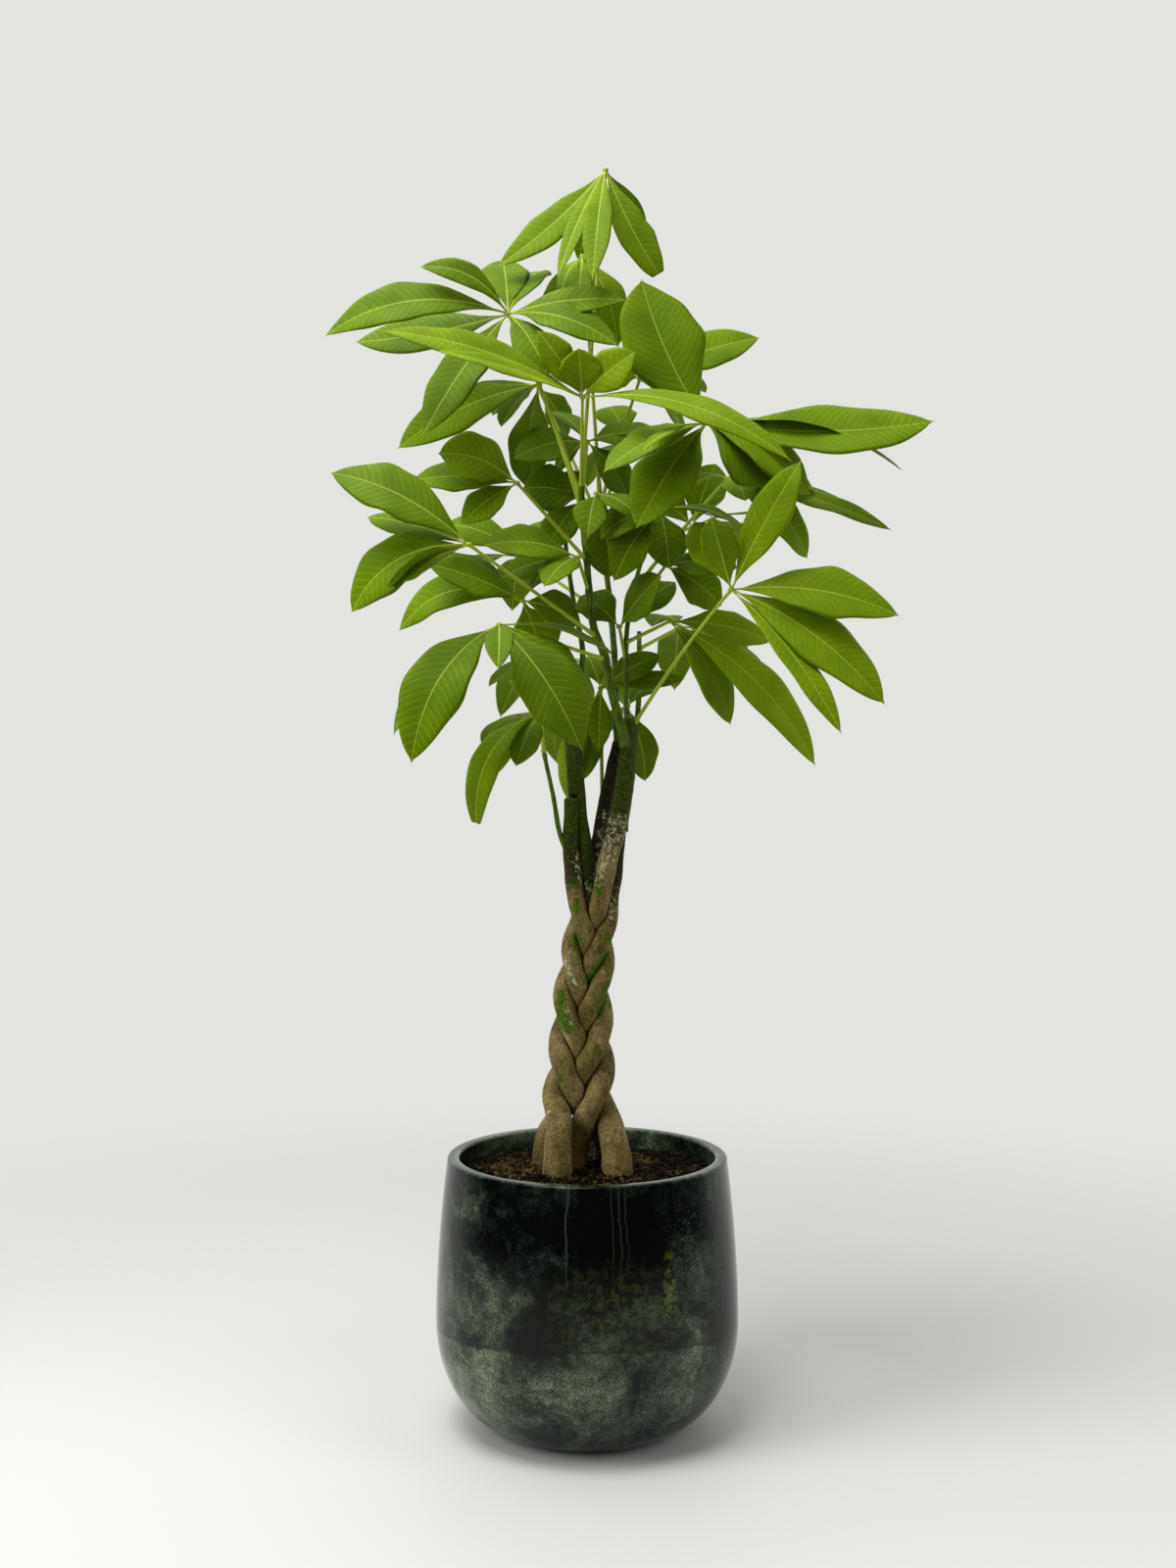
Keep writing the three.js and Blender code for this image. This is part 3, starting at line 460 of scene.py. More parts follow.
@dataclass(frozen=True)
class Finish:
    """A material under its own name; each kind adds its nodes in dress."""

    name: str = "plain"

    @cached_property
    def material(self) -> bpy.types.Material:
        """Makes the material, empty at first.

        Returns:
            The material.
        """
        material = bpy.data.materials.new(self.name)
        material.use_nodes = True
        material.node_tree.nodes.clear()
        return material

    @cached_property
    def add(self) -> Callable[..., bpy.types.Node]:
        """Adds a node to the material, as add_node does."""
        return partial(add_node, self.material.node_tree)

    @cached_property
    def place(self) -> bpy.types.NodeSocket:
        """The Object coordinates, in metres."""
        return self.add("TexCoord").outputs["Object"]

    def dress(self) -> dict[str, object]:
        """Adds the finish's nodes and gives the shader's inputs."""
        raise NotImplementedError

    def make(self) -> bpy.types.Material:
        """Builds the material with its shader."""
        self.add("OutputMaterial", [self.add("BsdfPrincipled", self.dress())])
        return self.material


@dataclass(frozen=True)
class GlazedStoneware(Finish):
    """Stoneware under a dark glaze: a deep wet shine over clouded green-grey marbling.

    The lowest third is paler and cloudier, palest on the left: a painted reflection of the pale floor. In
    the upper part the glaze ran down in hair-thin streaks, and it is thin and pale on the edges of the rim.
    Places are (way round from the front to the right, height) in metres.
    """

    name: str = "glazed_stoneware"
    ground: str = "#020403"
    deep: str = "#141d17"
    cloud: str = "#384435"
    pale: str = "#6f7a66"
    olive: str = "#3f4a1e"
    streak: str = "#7c8424"
    cloud_size: float = 0.07
    crack_size: float = 0.085
    warp_size: float = 0.04
    stone_size: float = 0.009
    pinhole_size: float = 1 / 260
    grain_size: float = 0.0016
    roughness: float = 0.06
    round_at: float = 0.16
    reflection_edge: float = 0.108
    inner_radius: float = 0.142
    # Where the glaze is thick and dark or thin and pale: the middle, half sizes, and how much. The first,
    # dark and high in the front, is a painted reflection of a dark window.
    patches: tuple[tuple[float, ...], ...] = (
        (0.018, 0.245, 0.05, 0.085, -0.18), (-0.085, 0.17, 0.06, 0.06, 0.03),
        (-0.045, 0.14, 0.035, 0.03, -0.1), (-0.06, 0.235, 0.05, 0.05, -0.04), (0.12, 0.2, 0.035, 0.08, 0.05),
        (0.02, 0.145, 0.05, 0.025, 0.03), (0.04, 0.015, 0.2, 0.03, -0.1))
    # Runs of glaze: way round, half width, lowest height, how strong, and whether pale.
    drips: tuple[tuple[float, ...], ...] = (
        (-0.161, 0.0019, 0.15, 0.95, 0), (0.1635, 0.0016, 0.16, 0.9, 0), (-0.0208, 0.0008, 0.175, 0.24, 1),
        (0.026, 0.0006, 0.185, 0.15, 1), (0.034, 0.0006, 0.18, 0.18, 1), (0.0405, 0.0006, 0.19, 0.14, 1))
    # Ovals: olive flecks in front under the painted window reflection, a yellow-green run, and pinholes high
    # on the right.
    olive_oval: tuple[float, ...] = (0.03, 0.16, 0.08, 0.05, 0.7)
    streak_oval: tuple[float, ...] = (0.087, 0.182, 0.007, 0.04, 0.75)
    pinhole_oval: tuple[float, ...] = (0.118, 0.225, 0.04, 0.06, 0.8)

    def spot(self, flat: bpy.types.Node, oval: tuple[float, ...]) -> bpy.types.Node:
        """A soft oval on the pot's side.

        Args:
            flat: the way round and the height.
            oval: its middle, way round and height, its half sizes, and its strength in the middle.

        Returns:
            The node that gives its strength.
        """
        turn, height, wide, tall, most = oval
        offset = self.add("VectorMath", [flat, (-turn, -height, 0.0)])
        scaled = self.add("VectorMath.MULTIPLY", [offset, (1 / wide, 1 / tall, 0.0)])
        return self.add("MapRange", [self.add("VectorMath.LENGTH", [scaled]), 0.3, 1.25, most, 0.0])

    def dress(self) -> dict[str, object]:
        """Adds the glaze's nodes.

        Returns:
            The shader's inputs.
        """
        add, place = self.add, self.place
        across, deep, height = add("SeparateXYZ", [place]).outputs
        turn = add("Math.ARCTAN2", [across, add("Math.MULTIPLY", [deep, -1.0])])
        around = add("Math.MULTIPLY", [turn, self.round_at])
        flat = add("CombineXYZ", [around, height])
        warp = add("TexNoise", {"Vector": place, "Scale": 1 / self.warp_size, "Detail": 4.0})
        bent = add("VectorMath.MULTIPLY", [warp.outputs["Color"], (0.035, 0.035, 0.035)])
        moved = add("VectorMath", [place, bent])
        clouds = add("TexNoise", {"Vector": moved, "Scale": 1 / self.cloud_size, "Detail": 12.0,
                                  "Roughness": 0.7, "Distortion": 0.5})
        stone = add("TexNoise", {"Vector": place, "Scale": 1 / self.stone_size, "Detail": 9.0,
                                 "Roughness": 0.75})
        grain = add("TexNoise", {"Vector": place, "Scale": 1 / self.grain_size, "Detail": 3.0})
        # The edge of the paler lower band lies a little lower at the back, and is uneven. Below it the glaze
        # is painted paler as a reflection of the pale floor, palest on the left and less so to the right.
        edge = add("Math.MULTIPLY_ADD", [deep, 0.16, height])
        ragged = add("Math.MULTIPLY_ADD", [warp, 0.016, edge])
        first = add("MapRange", [ragged, self.reflection_edge - 0.004, self.reflection_edge, 1.0, 0.0])
        low = add("Math.MULTIPLY", [first, add("MapRange", [around, -0.12, 0.05, 0.14, 0.07])])
        high = add("MapRange", [height, 0.17, 0.28, 0.0, -0.05])
        rim = add("MapRange", [height, 0.2845, 0.288, 0.0, 0.12])
        # The inside of the wall, above the compost, is thinly glazed too.
        reach = add("VectorMath.LENGTH", [add("VectorMath.MULTIPLY", [place, (1.0, 1.0, 0.0)])])
        within = add("MapRange", [reach, self.inner_radius, self.inner_radius + 0.004, 0.17, 0.0])
        inside = add("Math.MULTIPLY", [within, add("MapRange", [height, 0.2, 0.24])])
        amount = add("Math.MULTIPLY_ADD", [stone, 0.42, clouds])
        for term in (low, high, rim, inside, *(self.spot(flat, oval) for oval in self.patches)):
            amount = add("Math", [amount, term])
        base = add("ValToRGB", [amount], stops=[(0.6, self.ground), (0.7, self.deep), (0.81, self.cloud),
                                                (0.98, self.pale)])
        specks = add("MapRange", [grain, 0.36, 0.64, 0.25, 1.75])
        colour = add("Mix", {0: 1.0, 6: base, 7: specks}, blend_type="MULTIPLY")
        thick = add("MapRange", [stone, 0.47, 0.6])
        holes = add("TexVoronoi", {"Vector": place, "Scale": 1 / self.pinhole_size})
        pin = add("MapRange", [holes, 0.12, 0.2, 1.0, 0.0])
        for mask, oval, tint in ((thick, self.olive_oval, self.olive), (thick, self.streak_oval, self.streak),
                                 (pin, self.pinhole_oval, self.pale)):
            flecked = add("Math.MULTIPLY", [self.spot(flat, oval), mask])
            colour = add("Mix", {0: flecked, 6: colour, 7: tint})
        wobble = add("Math.MULTIPLY_ADD", [warp, 0.012, around])
        for turn_at, half, lowest, strength, bright in self.drips:
            away = add("Math.ABSOLUTE", [add("Math", [wobble, -turn_at - 0.006])])
            line = add("MapRange", [away, half * 0.5, half * 1.4, strength, 0.0])
            drawn = add("Math.MULTIPLY", [line, add("MapRange", [height, lowest, lowest + 0.05])])
            colour = add("Mix", {0: drawn, 6: colour, 7: self.pale if bright else self.ground})
        # The edge of the painted floor reflection is a fine dark line; below it the glaze pulled apart in
        # hair cracks.
        seam = add("Math.ABSOLUTE", [add("Math", [ragged, -self.reflection_edge])])
        border = add("MapRange", [seam, 0.0002, 0.0012, 0.6, 0.0])
        cells = add("TexVoronoi", {"Vector": moved, "Scale": 1 / self.crack_size}, feature="DISTANCE_TO_EDGE")
        broken = add("Math.MULTIPLY", [add("MapRange", [cells, 0.0, 0.008, 4.5, 0.0]), low])
        for mark in (border, broken):
            colour = add("Mix", {0: mark, 6: colour, 7: self.ground})
        bump = add("Bump", {"Height": clouds, "Strength": 0.06, "Distance": 0.002})
        return {"Base Color": colour, "Roughness": self.roughness, "IOR": 1.42, "Specular IOR Level": 0.27,
                "Normal": bump}


@dataclass(frozen=True)
class PottingCompost(Finish):
    """Peat and bark compost, loose and dry on top: nearly black and matt, with brown and rusty crumbs."""

    name: str = "potting_compost"
    dark: str = "#060502"
    brown: str = "#241a09"
    dry: str = "#4a391a"
    rust: str = "#665026"
    crumb_size: float = 4.5
    grit_size: float = 6
    patch_size: float = 38
    mound: tuple[float, ...] = (-0.072, 0.0, 0.0)

    def dress(self) -> dict[str, object]:
        """Adds the compost's nodes.

        Returns:
            The shader's inputs.
        """
        add, place = self.add, self.place
        crumbs = add("TexVoronoi", {"Vector": place, "Scale": 1000 / self.crumb_size})
        grit = add("TexNoise", {"Vector": place, "Scale": 1000 / self.grit_size, "Detail": 6.0})
        patch = add("TexNoise", {"Vector": place, "Scale": 1000 / self.patch_size, "Detail": 3.0})
        own = add("SeparateColor", [crumbs.outputs["Color"]])
        # It is dry and brown on the mound to the left of the trunks, and darker, nearly black, towards the
        # front.
        across, deep, _ = add("SeparateXYZ", [place]).outputs
        away = add("VectorMath.DISTANCE", [add("CombineXYZ", [across, deep]), self.mound])
        mound = add("MapRange", [away, 0.02, 0.05, 0.1, 0.0])
        darker_to_front = add("MapRange", [deep, -0.11, 0.02, -0.12, 0.0])
        driest = add("Math", [add("Math", [mound, darker_to_front]), grit])
        soil = add("ValToRGB", [driest], stops=[(0.42, self.dark), (0.58, self.brown), (0.76, self.dry)])
        rusty = add("Math", [add("Math.MULTIPLY", [own, patch]), mound])
        colour = add("Mix", {0: add("MapRange", [rusty, 0.4, 0.5]), 6: soil, 7: self.rust})
        bump = add("Bump", {"Height": crumbs, "Strength": 0.8, "Distance": 0.0015}, invert=True)
        return {"Base Color": colour, "Roughness": 0.95, "Specular IOR Level": 0.15, "Normal": bump}


@dataclass(frozen=True)
class PlaitedBark(Finish):
    """Smooth thin bark of a grown tree: olive-tan and dull, with green algae, lichen specks and corky pores.

    The piece's growth_and_shade attribute says how green, how lichened and how dark each place is; the
    dark share includes painted shade in the creases where neighbours press a trunk.
    """

    name: str = "plaited_bark"
    tan: str = "#958350"
    olive: str = "#6e6135"
    shade: str = "#2f270f"
    bright: str = "#bdb080"
    moss: str = "#466208"
    moss_dark: str = "#1c2d02"
    moss_bright: str = "#7d9222"
    dark_skin_and_shade: str = "#140f06"
    lichen: str = "#d6d2ad"
    scar_size: float = 17
    pore_size: float = 5.5
    fleck_size: float = 4.5
    grain_size: float = 2.6
    blotch_size: float = 26

    def dress(self) -> dict[str, object]:
        """Adds the bark's nodes.

        Returns:
            The shader's inputs.
        """
        add, place = self.add, self.place
        green, pale, dark_skin_and_crease_shade = add("SeparateColor", [add("Attribute", attribute_name="growth_and_shade")]).outputs
        tall = add("Mapping", {"Vector": place, "Scale": (1.0, 1.0, 0.5)})
        broad, fine, flecks = (
            add("TexNoise", {"Vector": where, "Scale": 1000 / size, "Detail": detail, "Roughness": rough})
            for where, size, detail, rough in ((tall, self.blotch_size, 6.0, 0.6),
                                               (place, self.grain_size, 6.0, 0.7),
                                               (place, self.fleck_size, 8.0, 0.75)))
        pores, scars = (add("TexVoronoi", {"Vector": place, "Scale": 1000 / size})
                        for size in (self.pore_size, self.scar_size))
        level = add("MapRange", [add("Math", [broad, fine]), 0.72, 1.26])
        bark = add("ValToRGB", [level], stops=[(0.0, self.shade), (0.36, self.olive), (0.7, self.tan),
                                               (1.0, self.bright)])
        # Round scars, a few millimetres wide and darker than the bark, stand a little proud.
        scar = add("MapRange", [scars, 0.1, 0.2, 0.5, 0.0])
        # Algae and the dark share, which includes painted shade in the creases, end in ragged edges, where
        # the fine noise cuts their soft shares.
        mossy = add("MapRange", [add("Math.MULTIPLY_ADD", [flecks, 1.3, green]), 1.08, 1.3, 0.0, 0.94])
        leafy = add("ValToRGB", [fine], stops=[(0.3, self.moss_dark), (0.5, self.moss),
                                               (0.72, self.moss_bright)])
        black = add("MapRange", [add("Math.MULTIPLY_ADD", [flecks, 1.2, dark_skin_and_crease_shade]), 0.75, 1.35, 0.0, 0.93])
        # Lichen sits in separate crusts of a few millimetres.
        crust = add("MapRange", [add("Math.MULTIPLY_ADD", [pale, 0.18, flecks]), 0.69, 0.75, 0.0, 0.85])
        colour = bark
        for share, tint in ((scar, self.shade), (mossy, leafy), (black, self.dark_skin_and_shade), (crust, self.lichen)):
            colour = add("Mix", {0: share, 6: colour, 7: tint})
        dots = add("MapRange", [pores, 0.1, 0.3, 1.0, 0.0])
        relief = add("Math.MULTIPLY_ADD", [scar, 1.2, add("Math.MULTIPLY_ADD", [dots, 0.35, fine])])
        bump = add("Bump", {"Height": relief, "Strength": 0.8, "Distance": 0.0012})
        return {"Base Color": colour, "Roughness": 0.75, "Specular IOR Level": 0.25, "Normal": bump}


@dataclass(frozen=True)
class GreenBark(Finish):
    """Green skin of a young shoot: smooth, a little waxy, with pale lengthwise streaks."""

    name: str = "green_bark"
    deep: str = "#2c4103"
    fresh: str = "#5f7a10"
    pale: str = "#8fa348"
    streak_size: float = 3

    def dress(self) -> dict[str, object]:
        """Adds the skin's nodes.

        Returns:
            The shader's inputs.
        """
        tall = self.add("Mapping", {"Vector": self.place, "Scale": (1.0, 1.0, 0.18)})
        streaks = self.add("TexNoise", {"Vector": tall, "Scale": 1000 / self.streak_size, "Detail": 4.0})
        colour = self.add("ValToRGB", [streaks], stops=[(0.3, self.deep), (0.6, self.fresh),
                                                        (0.8, self.pale)])
        bump = self.add("Bump", {"Height": streaks, "Strength": 0.4, "Distance": 0.0006})
        return {"Base Color": colour, "Roughness": 0.45, "Specular IOR Level": 0.35, "Normal": bump}


@dataclass(frozen=True)
class WaxyLeaf(Finish):
    """Living leaf under a thin wax: satin, yellow-green, with pale veins; some light glows through the blade.

    The blade attribute holds the distance from the midrib and along it in decimetres, and the share of
    the length; the tone attribute holds the underside, the age with painted light and shade, and how far
    the tip has dried.
    """

    name: str = "waxy_leaf"
    old: str = "#142500"
    grown: str = "#486400"
    fresh: str = "#769400"
    young: str = "#a3be10"
    vein: str = "#b8c648"
    below: str = "#6c8a04"
    dry: str = "#9c9060"
    vein_spacing: float = 8.5
    patch_size: float = 45
    grain_size: float = 2.5
    roughness: float = 0.42
    roughness_below: float = 0.62

    def dress(self) -> dict[str, object]:
        """Adds the leaf's nodes.

        Returns:
            The shader's inputs.
        """
        add, place = self.add, self.place
        (side, along, share), (under, age, dried) = (
            add("SeparateXYZ", [add("Attribute", attribute_name=name).outputs["Vector"]]).outputs
            for name in ("blade", "tone"))
        # Side veins leave the midrib at a wide angle and bend towards the tip.
        off = add("Math.ABSOLUTE", [side])
        back = add("Math.MULTIPLY", [off, add("Math.MULTIPLY_ADD", [off, 0.9, 0.5])])
        swept = add("Math.SUBTRACT", [along, back])
        wave = add("Math.PINGPONG", [add("Math.MULTIPLY", [swept, 100 / self.vein_spacing]), 0.5])
        vein = add("MapRange", [wave, 0.0, 0.1, 1.0, 0.0])
        # The midrib narrows towards the tip.
        slim = add("Math.MULTIPLY_ADD", [share, -0.0075, 0.0105])
        rib = add("MapRange", [add("Math.DIVIDE", [off, slim]), 0.6, 1.3, 0.8, 0.0])
        patch, fine = (add("TexNoise", {"Vector": place, "Scale": 1000 / size, "Detail": 3.0})
                       for size in (self.patch_size, self.grain_size))
        drift = add("Math.SUBTRACT", [patch, 0.5])
        # The ramp paints age and light: shaded leaves deep in the crown dark, lit ones at the top bright.
        aged_and_lit = add("Math.MULTIPLY_ADD", [drift, 0.7, age])
        colour = add("ValToRGB", [aged_and_lit], stops=[(0.0, self.old), (0.4, self.grown), (0.7, self.fresh),
                                                (1.0, self.young)])
        # Side veins show here and there, more where the noise is high.
        shown = add("MapRange", [patch, 0.35, 0.65, 0.1, 0.38])
        # A dried tip is the colour of straw, with an uneven border.
        tip = add("MapRange", [add("Math.MULTIPLY_ADD", [fine, 0.05, share]), 0.91, 0.94])
        for amount, tint in ((add("Math.MULTIPLY", [under, 0.5]), self.below),
                             (add("Math.MULTIPLY", [vein, shown]), self.vein), (rib, self.vein),
                             (add("Math.MULTIPLY", [tip, dried]), self.dry)):
            colour = add("Mix", {0: amount, 6: colour, 7: tint})
        quilt = add("Math.MULTIPLY_ADD", [wave, 2.0, fine])
        bump = add("Bump", {"Height": quilt, "Strength": 0.14, "Distance": 0.001})
        gloss = add("MapRange", [under, 0.0, 1.0, self.roughness, self.roughness_below])
        return {"Base Color": colour, "Roughness": gloss, "Specular IOR Level": 0.12, "Normal": bump,
                "Subsurface Weight": 0.3, "Subsurface Radius": (0.8, 1.0, 0.02), "Subsurface Scale": 0.001}


@dataclass(frozen=True)
class PlainStage(Finish):
    """Pale matt studio floor that melts into the pale room; sizes in metres."""

    name: str = "pale_floor"
    colour: str = "#ebebe7"
    solid_to: float = 0.4
    gone_at: float = 1.9

    def dress(self) -> dict[str, object]:
        """Thins the floor out with the distance from its middle.

        Returns:
            The shader's inputs.
        """
        away = self.add("VectorMath.LENGTH", [self.place])
        solid = self.add("MapRange", [away, self.solid_to, self.gone_at, 1.0, 0.0],
                         interpolation_type="SMOOTHSTEP")
        return {"Base Color": self.colour, "Roughness": 0.55, "Alpha": solid}


# ---- pot and soil -------------------------------------------------------------------------------


@dataclass
class Pot:
    """The glazed pot: sizes in millimetres, and the lathe profile made from them."""

    height: float = 288
    rim_radius: float = 152.5
    belly_radius: float = 165
    belly_height: float = 113
    foot_radius: float = 86
    wall: float = 13.5
    floor: float = 16
    upper_power: float = 1.8
    lip: float = 3.2
    corner_width: float = 12
    corner_height: float = 8
    inside_rows: tuple[float, ...] = (265, 240, 205, 170, 130, 90, 60, 40)
    wall_steps: int = 14
    lip_steps: int = 5
    steps: int = 128

    def radius(self, z: float) -> float:
        """Radius of the outside, an ellipse below the belly and a slow curve above it.

        Args:
            z: the height.

        Returns:
            The radius there.
        """
        if z <= self.belly_height:
            rise = 1 - z / self.belly_height
            return lerp(self.foot_radius, self.belly_radius, math.sqrt(max(0.0, 1 - rise * rise)))
        climb = (z - self.belly_height) / (self.height - self.belly_height)
        return lerp(self.belly_radius, self.rim_radius, climb ** self.upper_power)

    def inside(self, z: float) -> float:
        """Radius of the inside at a height."""
        return self.radius(z) - self.wall

    def profile(self) -> list[tuple[float, float]]:
        """The wall's outline from the middle of the foot, up outside, over the lip and down inside.

        Returns:
            Points of (radius, height).
        """
        points = [(0.0, 0.0), (self.foot_radius * 0.55, 0.0), (self.foot_radius - 2, 0.0)]
        for k in range(self.wall_steps + 1):
            z = self.belly_height * (1 - math.cos(math.pi / 2 * k / self.wall_steps))
            points.append((self.radius(z), max(z, 0.6)))
        top = self.height - self.lip
        for k in range(1, self.wall_steps + 1):
            z = lerp(self.belly_height, top, k / self.wall_steps)
            points.append((self.radius(z), z))
        # The lip is rounded in two quarter turns.
        outer, inner = self.radius(top) - self.lip, self.inside(top) + self.lip
        turns = [(outer, math.pi / 2 * k / self.lip_steps) for k in range(1, self.lip_steps + 1)]
        turns += [(inner, math.pi / 2 * (1 + k / self.lip_steps)) for k in range(self.lip_steps + 1)]
        for middle, turn in turns:
            points.append((middle + self.lip * math.cos(turn), top + self.lip * math.sin(turn)))
        corner = self.floor + self.corner_height
        points += [(self.inside(z), z) for z in (*self.inside_rows, corner)]
        return points + [(self.inside(corner) - self.corner_width, self.floor), (0.0, self.floor)]

    def build(self, glaze: bpy.types.Material) -> bpy.types.Object:
        """Spins the profile into the pot.

        Args:
            glaze: the pot's finish.

        Returns:
            The pot.
        """
        bm = bmesh.new()
        verts = [bm.verts.new(Vector((r, 0, z)) * MM) for r, z in self.profile()]
        edges = [bm.edges.new(pair) for pair in zip(verts, verts[1:])]
        bmesh.ops.spin(bm, geom=verts + edges, cent=(0, 0, 0), axis=UP, angle=math.tau, steps=self.steps,
                       use_merge=True)
        bmesh.ops.remove_doubles(bm, verts=bm.verts[:], dist=1e-6)
        return finish_piece("glazed_pot", bm, glaze, "glaze", "pot")


@dataclass
class Soil:
    """The compost: its heaped surface, and loose crumbs on it."""

    pot: Pot
    level: float = 267
    mound: float = 6
    clod: float = 9
    clod_place: tuple[float, float] = (-76, 8)
    clod_reach: float = 26
    mound_reach: float = 70
    # Long ripples of the surface: their rises, and their lengths across, deep and slanting.
    ripple_rises: tuple[float, float] = (1.6, 1.2)
    ripple_lengths: tuple[float, float, float] = (17, 21, 29)
    # Lumps of the surface: their size and their height.
    lumps: tuple[tuple[float, float], ...] = ((9, 2.6), (3.2, 1.1))
    depth: float = 40
    wall_gap: float = 0.4
    rings: int = 64
    sides: int = 168
    crumbs: int = 1700
    crumb_sizes: tuple[float, float] = (0.8, 3.0)
    crumb_stretch: tuple[float, float] = (0.6, 1.4)
    crumb_flatness: float = 0.7
    seed: int = 11

    def height(self, x: float, y: float) -> float:
        """Height of the smooth, heaped surface, with its long ripples.

        Args:
            x: the place, to the right.
            y: the place, to the back.

        Returns:
            The height there.
        """
        to_trunks = math.hypot(x, y) / self.mound_reach
        to_clod = math.hypot(x - self.clod_place[0], y - self.clod_place[1]) / self.clod_reach
        across, deep, slanting = self.ripple_lengths
        ripple = self.ripple_rises[0] * math.sin(x / across + 1) * math.cos(y / deep)
        ripple += self.ripple_rises[1] * math.sin((x + 2 * y) / slanting)
        heaps = self.mound * math.exp(-to_trunks ** 2) + self.clod * math.exp(-to_clod ** 2)
        return self.level + heaps + ripple

    def build(self, compost: bpy.types.Material) -> list[bpy.types.Object]:
        """Makes the heaped surface and the crumbs.

        Args:
            compost: their finish.

        Returns:
            Both pieces.
        """
        edge = self.pot.inside(self.level) - self.wall_gap

        def place(along: float, angle: float) -> Vector:
            """Gives a point of the surface, roughened by lumps of two sizes.

            Args:
                along: the share of the way out to the wall and down.
                angle: the angle round the middle.

            Returns:
                The point, in millimetres.
            """
            reach = edge * min(1.0, along / 0.96)
            x, y = reach * math.cos(angle), reach * math.sin(angle)
            if along > 0.97:
                return Vector((x, y, self.level - self.depth))
            lumps = sum(noise.noise(Vector((x, y, k * 7)) / size) * rise
                        for k, (size, rise) in enumerate(self.lumps))
            return Vector((x, y, self.height(x, y) + lumps))

        bm = bmesh.new()
        wrap_tube(bm, self.rings, self.sides, place)
        bmesh.ops.remove_doubles(bm, verts=bm.verts[:], dist=1e-5)
        surface = finish_piece("compost", bm, compost, "soil", "soil")

        rng = random.Random(self.seed)
        bm = bmesh.new()
        for _ in range(self.crumbs):
            reach = (edge - 3) * math.sqrt(rng.random())
            angle = rng.random() * math.tau
            x, y = reach * math.cos(angle), reach * math.sin(angle)
            size = rng.uniform(*self.crumb_sizes) * MM
            spot = Matrix.Translation(Vector((x, y, self.height(x, y) + 1.0)) * MM)
            turn = Matrix.Rotation(rng.random() * math.tau, 4, Vector((rng.random(), rng.random(), 1)))
            wide, deep = rng.uniform(*self.crumb_stretch), rng.uniform(*self.crumb_stretch)
            flat = Matrix.Diagonal((size * wide, size * deep, size * self.crumb_flatness, 1))
            bmesh.ops.create_icosphere(bm, subdivisions=1, radius=1.0, matrix=spot @ turn @ flat)
        return [surface, finish_piece("compost_crumbs", bm, compost, "soil")]


# ---- plaited trunks -----------------------------------------------------------------------------


